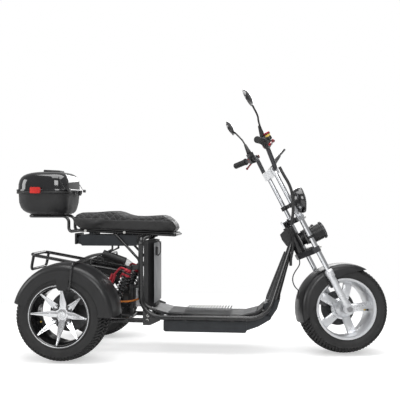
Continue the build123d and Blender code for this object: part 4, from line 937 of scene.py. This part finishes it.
def seam_round(x, lengths):
    """Distance round the section to the sewn side line, which falls towards the nose."""
    height = SEAM_HEIGHT - (x - SEAT_LOW.x) * SEAM_FALL
    for step, angle in enumerate(ANGLES):
        if step > 28:
            spot = outward(x, angle)[0]
            if spot and spot.z < height:
                return lengths[step]
    return lengths[45]


seams_at = [seam_round(FIRST_X + n * STRIP, lengths) for n, lengths in enumerate(sections)]

# %% press the quilting and the side seam in
DIAMOND = 0.040


def groove(distance, width):
    """How deep a seam presses at a distance from its middle, from 1 to 0."""
    return max(0.0, 1 - (distance / width) ** 2) ** 2


for point in cushion.data.vertices:
    x, y, z = point.co
    if not FIRST_X - 0.01 < x < LAST_X + 0.012 or z < 0.69:
        continue
    angle = atan2(y, z - CORE_Z)
    lengths = section_at(x)
    place = between(lengths, (angle - ANGLES[0]) / radians(SECTION_TURN))
    edge = between(seams_at, (x - FIRST_X) / STRIP)
    press = 0.0026 * groove(abs(place) - edge, 0.006)
    if abs(place) < edge - 0.004:
        along, across = (x + place) / DIAMOND, (x - place) / DIAMOND
        near = min(abs(along - round(along)), abs(across - round(across))) * DIAMOND * 0.7
        press += 0.003 * groove(near, 0.0065)
    point.co -= point.normal * press
cushion.data.update()
dress(cushion, "frame", leather, 60)
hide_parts("seat_cushion")
print("seat", len(cushion.data.polygons), "faces")

# %% [markdown]
# Grey thread runs along the quilting lines and the side seam. One stitch is modelled and
# copied to every place, turned to lie on the leather there.

# %% stitches
THREAD_STEP, DIAGONAL = 0.0095, 0.7071
places = []


def sew(x, place, heading):
    """Lay a stitch at a station and a distance round the section; heading is (x, round)."""
    lengths = section_at(x)
    for step in range(len(ANGLES) - 1):
        if lengths[step] <= place <= lengths[step + 1] and lengths[step + 1] > lengths[step]:
            part = (place - lengths[step]) / (lengths[step + 1] - lengths[step])
            angle = ANGLES[step] + part * radians(SECTION_TURN)
            spot, normal = outward(x, angle)
            if spot:
                round_way = Vector((0, normal.z, -normal.y))
                along = Vector((1, 0, 0)) * heading[0] + round_way * heading[1]
                places.append(facing(spot - normal * 0.0021, normal, along))
            return


for turn in (1, -1):
    for line in range(-22, 2):
        for step in range(-24, 25):
            place = step * THREAD_STEP * DIAGONAL
            x = line * DIAMOND + turn * place
            if FIRST_X + 0.004 < x < LAST_X - 0.004:
                if abs(place) < between(seams_at, (x - FIRST_X) / STRIP) - 0.003:
                    sew(x, place, (turn, 1))
x = FIRST_X
while x < LAST_X:
    edge = between(seams_at, (x - FIRST_X) / STRIP)
    sew(x, edge, (1, 0))
    sew(x, -edge, (1, 0))
    x += THREAD_STEP
stitch = block("stitch", (6.2, 1.2, 1.2), edge=0.4, segments=1)
BATCH = 400
rows = [gathered("stitch_row", stitch, places[first:first + BATCH], keep=True)
        for first in range(0, len(places), BATCH)]
bpy.data.objects.remove(stitch)
stitching = merged("seat_stitches", rows)
dress(stitching, "frame", thread, 30)
print("stitches", len(places))

# %% [markdown]
# ## Top box
# The top box is two thin mouldings that meet at a flange. Both are rounded rectangles whose
# size changes with height, so each starts as a thin block with rounded corners, and its end
# face is pulled out level by level. The open face is then removed and the walls thickened.


# %% build a moulding level by level
def choose_edges(piece, test):
    """Choose the edges whose two ends pass the test."""
    mesh = bmesh.from_edit_mesh(piece.data)
    bpy.ops.mesh.select_mode(type="EDGE")
    for edge in mesh.edges:
        edge.select = bool(test(edge.verts[0].co, edge.verts[1].co))
    bmesh.update_edit_mesh(piece.data)


def moulding(name, levels, corner, sides=9):
    """Levels are (z, rear, front, half width) in millimetres; the first two share a size."""
    clear_choice()
    z, rear, front, half = levels[0]
    bpy.ops.mesh.primitive_cube_add(size=1)
    piece = edit(name)
    bpy.ops.mesh.select_all(action="SELECT")
    tall = levels[1][0] - z
    bpy.ops.transform.resize(value=((front - rear) / 1000, half / 500, tall / 1000))
    bpy.ops.transform.translate(value=((front + rear) / 2000, 0, (z + tall / 2) / 1000))
    choose_edges(piece, lambda a, b: abs(a.z - b.z) > abs(tall) / 2000)
    bpy.ops.mesh.bevel(offset=corner / 1000, segments=sides, affect="EDGES")
    bpy.ops.mesh.select_mode(type="VERT")
    way = 1 if tall > 0 else -1
    for before, after in zip(levels[1:], levels[2:]):
        choose(piece, lambda co: way * co.z > way * before[0] / 1000 - 0.00005)
        shift = ((after[1] + after[2]) - (before[1] + before[2])) / 2000
        bpy.ops.mesh.extrude_region_move(
            TRANSFORM_OT_translate={"value": (shift, 0, (after[0] - before[0]) / 1000)})
        wide = (after[2] - after[1]) / (before[2] - before[1])
        pivot = ((after[1] + after[2]) / 2000, 0, after[0] / 1000)
        bpy.ops.transform.resize(value=(wide, after[3] / before[3], 1), center_override=pivot)
    bpy.ops.mesh.select_all(action="SELECT")
    bpy.ops.mesh.normals_make_consistent(inside=False)
    return piece


def opened(piece, z, wall):
    """Remove the flat face at height z and give the shell a wall, both in millimetres."""
    mesh = bmesh.from_edit_mesh(piece.data)
    bpy.ops.mesh.select_mode(type="FACE")
    for face in mesh.faces:
        level = abs(face.calc_center_median().z - z / 1000) < 0.0004
        face.select = level and abs(face.normal.z) > 0.9
    bmesh.update_edit_mesh(piece.data)
    bpy.ops.mesh.delete(type="ONLY_FACE")
    return modify(piece, "SOLIDIFY", thickness=wall / 1000, offset=-1)


# %% base
base = moulding("box_base", [
    (757.5, -955, -748, 128), (759, -955, -748, 128), (765, -972, -741, 142),
    (776, -988, -735, 154), (794, -1001, -730, 164), (822, -1009, -724, 171),
    (866, -1011, -720, 175), (869, -1011, -720, 175.3), (870, -1018, -710, 185),
    (872, -1020, -707, 187), (884.4, -1020, -707, 187)], 62)
opened(base, 884.4, 3.2)
soften(base, 0.0008, 1)
dress(base, "frame", box_black, 50)
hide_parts("top_box_base")
print("box base", len(base.data.polygons), "faces")

# %% lid
lid = moulding("box_lid", [
    (885.5, -1020, -707, 187), (892, -1020, -707, 187), (894, -1019, -708, 186),
    (895, -1012, -719, 176), (922, -1011, -719.5, 175.5), (944, -1006, -722, 172),
    (960, -998, -727, 166), (972, -986, -734, 157), (981, -969, -744, 144),
    (988, -946, -758, 127), (992.5, -916, -776, 104), (995, -884, -798, 76)], 88)
opened(lid, 885.5, 3)
dress(lid, "lid", lid_gloss, 50)
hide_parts("top_box_lid")
print("box lid", len(lid.data.polygons), "faces")

# %% [markdown]
# The glossy shell carries a plain grip strip over its crown. A thin arched bead marks where
# the shell's gloss panel ends, and hinge blocks close the flange at the front.

# %% grip strip, bead and blocks
strip = block("box_grip", (96, 92, 15), moved(-840, 0, 998) @ spun(3, "Y"), edge=5, segments=3)
dress(strip, "lid", box_black, 40)
arch = []
for step in range(25):
    crest = cos(radians(-90 + 7.5 * step))
    back, rise = 0.7225, 0.0
    if 0 < step < 24:
        back, rise = 0.7285 + 0.055 * crest ** 0.7, 0.0945 * crest ** 0.55
    arch.append((-back, 0.1765 * sin(radians(-90 + 7.5 * step)), 0.8975 + rise))
bead = solid_tube("box_bead", arch, 1.6, sides=2)
dress(bead, "lid", box_black, 60)
blocks = []
for y in (-150, 150):
    blocks.append(block("hinge_block", (11, 30, 17), moved(-704, y, 889), edge=3, segments=2))
blocks.append(block("rear_block", (9, 60, 14), moved(-1019.5, 0, 889.5), edge=3, segments=2))
catches = merged("box_catches", blocks)
dress(catches, "lid", satin_black)
print("box details ready")

# %% [markdown]
# ## Handlebar
# The bar carries ribbed grips, switch blocks, levers, a brake-fluid pot and mirrors on
# stalks. They are placed from the steering axis in millimetres (forward, left, up), as they
# would be measured on the bench, and ride on the steering.

# %% bar directions
BEND_IN = Vector((65, 180, 604))
BEND_OUT = Vector((43, 287, 621))
BAR_END = Vector((-18, 410, 637))


def bench(point, side=1):
    """A bench point (forward, left, up) on either side, where the steering rests."""
    return fork(point[0], side * point[1], point[2])


def direction(start, end, side=1):
    return (bench(end, side) - bench(start, side)).normalized()


perch_bench = BEND_IN + (BEND_OUT - BEND_IN).normalized() * 62
grip_way = (BAR_END - BEND_OUT).normalized()
grip_bench = BAR_END - grip_way * 106
print("perch", [round(v) for v in perch_bench])

# %% grips
ribs = [(12.3, 0), (17.5, 0), (20.5, 2), (20.5, 6), (17.5, 8)]
for row in range(16):
    ribs += [(17.4, 10 + row * 6), (16.4, 11 + row * 6), (16.4, 14 + row * 6), (17.4, 15 + row * 6)]
ribs += [(17.6, 108), (17.8, 111), (15, 114), (0, 114.5)]
grips = []
for side in (1, -1):
    grips.append(turned("grip", ribs, facing(bench(grip_bench, side),
                                             direction(grip_bench, BAR_END, side)), 32))
ribbed_grips = dress(merged("ribbed_grips", grips), "steering", soft_rubber, 45)
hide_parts("grips")
print("grips ready")

# %% switch blocks with their buttons
cases, keys, collars = [], [], []
for side in (1, -1):
    way = direction(BEND_IN, BEND_OUT, side)
    at = facing(bench(perch_bench, side), way, fork_ahead)
    cases.append(block("switch_case", (40, 44, 38), at @ moved(0, 0, 6), edge=7, segments=3))
    cases.append(block("switch_case", (46, 20, 26), at @ moved(8, 0, -24), edge=5, segments=3))
    cases.append(turned("perch_ring", [(12.2, -9), (17, -9), (18.5, -7), (18.5, 7), (17, 9),
                                       (12.2, 9)], at @ moved(0, 0, 32), 28, closed=True))
    for step, (along, across) in enumerate(((-6, 4), (6, 4), (0, -10))):
        keys.append(block("key", (3.5, 7, 8), at @ moved(-21, across, 6 + along), edge=1.2))
    collars.append(turned("end_collar", [(12.3, -3), (15, -3), (15.5, 0), (15, 3), (12.3, 3)],
                          at @ moved(0, 0, -52), 28, closed=True))
dress(merged("switch_cases", cases), "steering", satin_black)
dress(merged("switch_keys", keys), "steering", anodised_red)
dress(merged("bar_collars", collars), "steering", bar_grey)
print("switches ready")

# %% [markdown]
# A brake lever is a flat forging that follows the grip and ends in a ball, and its pivot sits
# between two ears of the perch. Here it is a curved round tube with a ball and a pivot pin.

# %% levers
levers = []
root = perch_bench + Vector((40, 0, 0))
tip = Vector((30, 392, 590))
for side in (1, -1):
    stops = [root, root + Vector((6, 24, -3)), Vector((62, 300, 606)), Vector((46, 348, 598)),
             tip]
    arm = solid_tube("lever", [bench(stop, side) for stop in stops], 5.2, sides=3)
    levers.append(arm)
    levers.append(turned("lever_ball", [(0, -8), (5.5, -6), (8, 0), (5.5, 6), (0, 8)],
                         facing(bench(tip, side), direction(root, tip, side)), 16))
    levers.append(turned("lever_pivot", [(0, -9), (6, -9), (7, -8), (7, 8), (6, 9), (0, 9)],
                         facing(bench(root, side), fork_up), 20))
brake_levers = dress(merged("brake_levers", levers), "steering", dark_red)
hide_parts("levers")
print("levers ready")

# %% brake-fluid pot on the right
pot_at = facing(bench((75, 262, 644), -1), fork_up, fork_ahead)
pot_black = [turned("pot_body", [(0, -20), (11, -20), (15, -16), (15, -2), (0, -2)], pot_at, 28),
             turned("pot_neck", [(0, 9), (15, 9), (16.5, 10), (16.5, 13), (0, 13)], pot_at, 28)]
dress(merged("pot_black", pot_black), "steering", satin_black)
dress(turned("pot_band", [(0, -2), (14.2, -2), (14.2, 9), (0, 9)], pot_at, 28), "steering",
      amber)
dress(turned("pot_cap", [(0, 13), (17, 13), (18, 14.5), (18, 19), (16, 21), (0, 21.5)], pot_at, 28),
      "steering", anodised_red)
print("pot ready")

# %% [markdown]
# The mirrors are teardrop shells on bent stalks with rubber boots. A shell is half of a
# squashed ball that narrows to one end, and its glass lies a little inside the rim. Both are
# turned the same way about an upright axis, which the ball joint of each stalk allows.

# %% mirrors
MIRROR_TURN, NARROW_FROM = radians(-24), -0.02
STALK_FOOT = Vector((0, 0, 40))
STALK_TOP = Vector((59, 262, 714))
STALK_BENDS = (STALK_TOP - Vector((0, 0, 20)), Vector((62, 276, 735)), Vector((66, 310, 757)),
               Vector((58, 340, 806)), Vector((52, 368, 846)))
shells, glasses, stalks, boots = [], [], [], []
for side in (1, -1):
    mirror_at = bench((50, 370, 855), side)
    way = Matrix.Rotation(MIRROR_TURN, 3, "Z") @ fork_ahead
    place = facing(mirror_at, way, fork_left)
    clear_choice()
    bpy.ops.mesh.primitive_uv_sphere_add(segments=40, ring_count=20, radius=1)
    shell = edit("mirror_shell")
    bpy.ops.mesh.select_all(action="SELECT")
    bpy.ops.mesh.bisect(plane_co=(0, 0, 0), plane_no=(0, 0, 1), clear_inner=True, use_fill=False)
    bpy.ops.mesh.select_all(action="SELECT")
    bpy.ops.transform.resize(value=(0.068, 0.0465, 0.024), center_override=(0, 0, 0))
    choose(shell, lambda co: side * co.x < NARROW_FROM)
    bpy.ops.transform.resize(value=(1, 0.8, 0.9), center_override=(NARROW_FROM * side, 0, 0))
    bpy.ops.mesh.select_all(action="SELECT")
    bpy.ops.mesh.normals_make_consistent(inside=False)
    put(shell, place @ moved(0, 0, -6))
    shells.append(modify(shell, "SOLIDIFY", thickness=0.0022, offset=-1))
    pane = turned("mirror_pane", [(0, -1), (0.97, -1), (1, 0), (0.97, 1), (0, 1)], steps=40)
    bpy.ops.object.mode_set(mode="EDIT")
    bpy.ops.mesh.select_all(action="SELECT")
    bpy.ops.transform.resize(value=(64.5, 43.2, 0.8), center_override=(0, 0, 0))
    choose(pane, lambda co: side * co.x < NARROW_FROM)
    bpy.ops.transform.resize(value=(1, 0.8, 1), center_override=(NARROW_FROM * side, 0, 0))
    put(pane, place @ moved(0, 0, -3.5))
    glasses.append(pane)
    stalks.append(solid_tube("stalk", [bench(p, side) for p in STALK_BENDS], 5, sides=4))
    stalks.append(turned("ball_joint", [(0, -4), (8, -2), (10, 5), (8, 11), (0, 13)],
                         place, 20))
    foot = perch_bench + STALK_FOOT
    climb = direction(foot, STALK_TOP, side)
    rise = (bench(STALK_TOP, side) - bench(foot, side)).length * 1000
    folds = [(0, 0), (16, 0)]
    for row in range(9):
        share = row / 9
        folds += [(15.5 - 8 * share, rise * (share + 0.03)),
                  (13.4 - 7 * share, rise * (share + 0.07))]
    folds += [(7, rise), (5.2, rise + 2), (0, rise + 2)]
    boots.append(turned("boot", folds, facing(bench(foot, side), climb), 24))
mirror_shells = dress(merged("mirror_shells", shells), "steering", lamp_gloss, 60)
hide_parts("mirror_housings")
mirror_panes = dress(merged("mirror_panes", glasses), "steering", mirror_silver)
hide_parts("mirror_glass")
dress(merged("mirror_stalks", stalks), "steering", satin_black, 60)
dress(merged("stalk_boots", boots), "steering", soft_rubber, 50)
print("mirrors ready")

# %% upper clamp bolts, display screen
screws = []
screw = bolt_head("clamp_screw", 6, 5)
for u in (43, 71):
    for y in (-118, -70, 70, 118):
        screws.append(facing(fork(u, y, 498), fork_up))
dress(gathered("clamp_screws", screw, screws), "steering", zinc)
face_way = (fork(182, 0, 555) - fork(122, 0, 531)).normalized()
face_up = face_way.cross(fork_left).normalized()
pane_place = facing(fork(151, 0, 554), face_up, face_way)
dress(block("display_screen", (50, 76, 1.6), pane_place, edge=0.5), "steering", screen)
print("clamp and display ready")

# %% [markdown]
# ## Lamps
# The headlight is a deep polished bowl with a bright ring and a bulged clear lens over a
# reflector. The two spotlights below it are finned cans whose notched rings hold LED lenses.

# %% headlight
LAMP_TILT = radians(10.7)
lamp_way = at_rest.to_3x3() @ Vector((cos(LAMP_TILT), 0, sin(LAMP_TILT)))
lamp_place = facing(fork(133, 0, 271), lamp_way, fork_left)
bowl = turned("headlight_bowl", [
    (0, -56), (12, -55.4), (26, -52.6), (40, -47), (53, -38), (63, -27), (70, -14), (72.6, -6),
    (73.2, 2), (73.2, 7), (71, 10.5), (66, 11.5), (65, 10.8)], lamp_place, 72)
dress(bowl, "steering", lamp_gloss, 60)
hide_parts("headlight_shell")
arms = []
for side in (1, -1):
    arms.append(turned("arm_ring", [(12.8, -12), (18, -12), (19, -10), (19, 10), (18, 12),
                                    (12.8, 12)],
                       facing(fork(LEG_AHEAD, side * 105, 271), fork_up), 32,
                       closed=True))
    start, end = fork(60, side * 98, 271), fork(122, side * 58, 271)
    arms.append(block("arm", ((end - start).length * 1000, 9, 22),
                      facing((start + end) / 2, fork_up, end - start), edge=2))
dress(merged("headlight_arms", arms), "steering", satin_black)
ring = turned("headlight_ring", [(65.2, 9), (70, 10), (71.6, 12), (70.5, 15), (67, 16),
                                 (65.2, 14)], lamp_place, 72, closed=True)
dress(ring, "steering", dark_steel, 60)
reflector = turned("headlight_reflector", [(0, -28), (10, -27), (34, -16), (56, 2), (65, 10.3)],
                   lamp_place, 64)
dress(reflector, "steering", chrome, 60)
lens = turned("headlight_glass", [(0, 31), (20, 29.5), (40, 25), (56, 18.5), (65, 12), (65, 10.8),
                                  (40, 23), (20, 27.6), (0, 29)], lamp_place, 64, closed=True)
dress(lens, "steering", lamp_glass, 60)
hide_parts("headlight_lens")
print("headlight ready")

# %% spotlights
SPOT_WAY = fork_ahead
fins, rims, leds, holders = [], [], [], []
for side in (1, -1):
    place = facing(fork(48, side * 86, 74), SPOT_WAY, fork_left)
    squash = Matrix.Diagonal((0.84, 1.0, 1.0, 1.0))
    for row in range(7):
        z = 26 + row * 9
        fins.append(turned("fin", [(36, z), (43.4, z), (44, z + 1.4), (43.4, z + 2.8),
                                   (36, z + 2.8)], place @ squash, 48, closed=True))
    rims.append(turned("spot_rim", [(30, 92), (42.5, 92), (44, 94), (44, 102), (42, 104.5),
                                    (34, 104.5), (31, 101)], place @ squash, 48, closed=True))
    tooth = block("tooth", (9, 10, 13), edge=1.5, segments=1)
    teeth = [place @ squash @ spun(turn * 30) @ moved(43, 0, 97.5) for turn in range(12)]
    rims.append(gathered("teeth", tooth, teeth))
    lens_one = turned("led", [(0, 4.5), (4, 3.6), (6.6, 0.6), (7, -2), (0, -2)], steps=16)
    spots = [place @ moved(0, 0, 101.5)]
    spots += [place @ squash @ spun(60 * turn) @ moved(19, 0, 101.5) for turn in range(6)]
    leds.append(gathered("leds", lens_one, spots))
    holders.append(turned("led_plate", [(0, 100), (32.5, 100), (32.5, 101.4), (0, 101.4)],
                          place @ squash, 40))
dress(merged("spot_fins", fins), "steering", satin_black)
dress(merged("spot_rims", rims), "steering", dark_steel)
dress(merged("spot_leds", leds), "steering", led_white)
dress(merged("spot_plates", holders), "steering", chrome)
print("spotlights ready")

# %% [markdown]
# The clamps that hold the stanchions are closed by socket screws, and the steering stem ends
# in a wide hexagon nut.

# %% fork screws
screw = bolt_head("fork_screw", 6.5, 6)
places = []
for w in (4, 182):
    for y in (-LEG_SIDE, LEG_SIDE):
        places.append(facing(fork(LEG_AHEAD + 21, y, w), fork_ahead))
dress(gathered("fork_screws", screw, places), "steering", zinc)
nut = turned("stem_nut", [(0, 0), (24, 0), (25, 2), (25, 8), (23, 10), (0, 10)],
             facing(fork(0, 0, 201), fork_up), 6)
caps = [turned("stanchion_cap", [(0, 0), (15, 0), (16, 1.5), (16, 5), (13, 7), (0, 7)],
               facing(fork(LEG_AHEAD, y, 201), fork_up), 28) for y in (-LEG_SIDE, LEG_SIDE)]
dress(merged("fork_caps", caps + [nut]), "steering", chrome)
collar = turned("leg_collar", [(14.3, 0), (22, 0), (23, 2), (23, 9), (21, 11), (18, 16),
                               (14.3, 18)], steps=32, closed=True)
places = [facing(fork(LEG_AHEAD, y, -141), fork_up) for y in (-LEG_SIDE, LEG_SIDE)]
dress(gathered("leg_collars", collar, places), "steering", silver)
nodes["risers"].data.materials[0] = chrome
nodes["bottom_yoke"].data.materials[0] = bar_grey
print("fork details ready")

# %% [markdown]
# ## Frame and floor
# A padded black column hides the wiring under the seat. Two thick tubes run down its sides
# and turn forward into the floor, and a pale plate with the charging port faces the rider.
# The floor carries a ribbed mat, and large bolts hold the swing arm and the fenders.

# %% column
plate_grey = finish("plate_grey", (0.20, 0.205, 0.215), (0.26, 0.265, 0.275), (0.4, 0.5), 700, 0.1)
column_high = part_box("seat_column")[1]
nodes["seat_column"].data.materials[0] = box_black
plate = block("column_plate", (2.4, 214, 330), moved(column_high.x * 1000 + 0.6, 0, 432), edge=1)
dress(plate, "frame", plate_grey)
HOOP_SIDE, HOOP_RADIUS = 0.141, 10
tubes = []
for y in (-HOOP_SIDE, HOOP_SIDE):
    route = [(-0.262, y * 0.8, 0.632)]
    route += [(x, y, z) for x, z in ((-0.285, 0.628), (-0.300, 0.590), (-0.300, 0.480),
                                     (-0.300, 0.360), (-0.294, 0.285), (-0.262, 0.245),
                                     (-0.215, 0.232))]
    tubes.append(solid_tube("hoop", route, HOOP_RADIUS, sides=5))
dress(merged("column_hoops", tubes), "frame", black_paint, 60)
port = block("port", (14, 34, 46), moved(column_high.x * 1000 + 7, -60, 552), edge=4, segments=3)
loop = solid_tube("port_loop", [(-0.236, -0.06, 0.600), (-0.222, -0.06, 0.612),
                                (-0.208, -0.062, 0.596), (-0.206, -0.064, 0.560),
                                (-0.212, -0.062, 0.532), (-0.226, -0.06, 0.524)], 2.6, sides=3)
dress(merged("charging_port", [port, loop]), "frame", satin_black)
print("column ready")

# %% floor mat ribs
mat_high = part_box("floor_mat")[1]
RIB_MARGIN, RIB_PITCH = 26, 16
rib = block("mat_rib", (9, 2 * mat_high.y * 1000 - RIB_MARGIN, 2.2), edge=0.9, segments=2)
places = [moved(x, 0, mat_high.z * 1000 - 0.2) for x in range(-64, 180, RIB_PITCH)]
dress(gathered("mat_ribs", rib, places), "frame", mat_rubber)
print("mat ribs", len(places))

# %% [markdown]
# Bolts are one model with a socket, copied to each place and turned outward.

# %% bolts
head = bolt_head("frame_bolt", 8, 6)
spots = []
for side in (1, -1):
    out = (0, side, 0)
    for x, y, z in ((-0.262, 0.150, 0.205), (-0.266, 0.150, 0.18), (-0.62, 0.118, 0.664),
                    (-0.40, 0.118, 0.655)):
        spots.append(facing((x, side * y, z), out))
dress(gathered("frame_bolts", head, spots), "frame", zinc)
head = bolt_head("fender_bolt", 6.5, 5)
spots = [facing((x / 1000, side * 0.4645, z / 1000), (0, side, 0))
         for side in (1, -1) for x, z in ((-630, 426), (-633, 390))]
dress(gathered("fender_bolts", head, spots), "frame", zinc)
knob = turned("box_knob", [(0, 0), (16, 0), (17, 2), (17, 16), (14, 20), (0, 20)],
              facing((-0.697, 0, 0.618), (-1, 0, 0)) @ moved(0, 0, -14), 24)
cap = block("box_cap", (12, 150, 62), moved(-690, 0, 617), edge=4, segments=2)
dress(merged("under_box_end", [knob, cap]), "frame", satin_black)
print("bolts ready")

# %% [markdown]
# ## Rear suspension
# Each coil-over shock has gloss black coils between red collars, and a red gas bottle beside
# it. A third damper with silver rings stands in the middle. The coils and bottles are the
# solid model's; the collars, caps and cups are turned shapes laid along each shock's line.

# %% shocks
SHOCK_LOW, SHOCK_HIGH = Vector((-0.441, 0, 0.296)), Vector((-0.369, 0, 0.461))
SHOCK_SIDE = 0.143
shock_way = (SHOCK_HIGH - SHOCK_LOW).normalized()
shock_length = (SHOCK_HIGH - SHOCK_LOW).length * 1000
nodes["shock_springs"].data.materials[0] = spring_gloss
nodes["shock_dampers"].data.materials[0] = satin_black
nodes["rear_calipers"].data.materials[0] = caliper_grey
red, dark = [], []
for y in (-SHOCK_SIDE, SHOCK_SIDE):
    place = facing(SHOCK_LOW + Vector((0, y, 0)), shock_way, (0, 1, 0))
    for low, high, radius in ((shock_length - 46, shock_length - 34, 26.5),
                              (shock_length - 30, shock_length - 22, 24.5)):
        red.append(turned("collar", [(17, low), (radius, low), (radius + 0.6, low + 1.4),
                                     (radius + 0.6, high - 1.4), (radius, high), (17, high)],
                          place, 40, closed=True))
    red.append(turned("top_cap", [(0, shock_length - 20), (18, shock_length - 20),
                                  (20, shock_length - 17), (19, shock_length - 8),
                                  (14, shock_length - 4), (0, shock_length - 4)], place, 32))
    dark.append(turned("lower_cup", [(10, 22), (24, 22), (25, 24), (25, 30), (22, 32), (10, 32)],
                       place, 40, closed=True))
dress(merged("shock_collars", red), "frame", anodised_red)
dress(merged("shock_cups", dark), "frame", satin_black)
print("shocks ready, length", round(shock_length), "mm")

# %% centre damper rings
low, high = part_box("centre_damper")
centre = (low + high) / 2
rings = [turned("damper_ring", [(12, z), (17, z), (17.8, z + 1.5), (17, z + 3), (12, z + 3)],
                Matrix.Translation(Vector((centre.x, centre.y, low.z + 0.02))), 32, closed=True)
         for z in range(30, 130, 7)]
dress(merged("damper_rings", rings), "frame", silver)
nodes["centre_damper"].data.materials[0] = dark_steel
print("centre damper ready")

# %% [markdown]
# ## Cables
# The black looms and the orange motor cable follow the solid model's routes, so each is a
# smooth curve through the same points, and the cord's length is measured along it.


# %% cords
def laid_cord(name, route, radius, body, material, node):
    """A cord along a route in metres that leaves the vehicle and enters it again."""
    cord = bent(name, route, radius, order=3, sides=5)
    cord.data.materials.append(material)
    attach(cord, body)
    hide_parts(node)
    return cord


UPPER_LOOM = [(0.450, -0.124, 1.008), (0.471, -0.130, 0.966), (0.497, -0.132, 0.924),
              (0.514, -0.131, 0.880), (0.521, -0.130, 0.833), (0.522, -0.129, 0.785),
              (0.519, -0.127, 0.742), (0.512, -0.118, 0.700)]
LOWER_LOOM = [(0.510, -0.112, 0.684), (0.518, -0.088, 0.650), (0.5215, -0.062, 0.615),
              (0.5196, -0.049, 0.562), (0.5129, -0.0465, 0.532), (0.5076, -0.0425, 0.508),
              (0.508, -0.038, 0.474)]
MOTOR_CABLE = [(-0.291, -0.060, 0.300), (-0.330, -0.058, 0.284), (-0.376, -0.050, 0.268),
               (-0.430, -0.040, 0.264), (-0.4918, -0.024, 0.262)]


def run_length(route, order=3):
    """Length of the smooth curve, measured on its own evaluated mesh line."""
    take(bent("probe", route, 0, order))
    bpy.ops.object.convert(target="MESH")
    line = bpy.context.active_object
    corners = [line.matrix_world @ v.co for v in line.data.vertices]
    total = sum((b - a).length for a, b in zip(corners, corners[1:]))
    bpy.data.objects.remove(line)
    return total


for name, route, radius, body, material, slot, node in (
        ("upper_loom_sleeve", UPPER_LOOM, 8, "steering", sleeve_black, "cable_black", "upper_loom"),
        ("lower_loom_sleeve", LOWER_LOOM, 8, "frame", sleeve_black, "cable_black", "lower_loom"),
        ("motor_cable_sleeve", MOTOR_CABLE, 5, "frame", sleeve_orange, "cable_orange",
         "motor_cable")):
    cord = laid_cord(name, route, radius, body, material, node)
    length = run_length(route)
    print(name, round(length, 3), "m")

# %% brake hose
WHEEL_AHEAD, WHEEL_UP, HOSE_SIDE = 786, 238.5, -10
HOSE_TURN = [(158, 254.3), (168, 254.3)]
hose_route = [fork(u, HOSE_SIDE, w) for u, w in (
    (-28, -15.9), (-32, -32), (-50, -48), (-80, -62), (-106, -82), (-119, -110), (-119, -140))]
for angle, reach in HOSE_TURN:
    straight = Vector((WHEEL_AHEAD + reach * cos(radians(angle)), HOSE_SIDE,
                       WHEEL_UP + reach * sin(radians(angle)))) / 1000
    hose_route.append(at_rest @ straight)
hose = laid_cord("brake_hose_line", hose_route, 3, "steering", sleeve_black,
                 "brake_hose")
length = run_length(hose_route)
print("brake hose", round(length, 3), "m")

# %% sizes and finish
low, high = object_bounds()
print("grown by", [round(v, 4) for v in (*(cad_low - low), *(high - cad_high))])
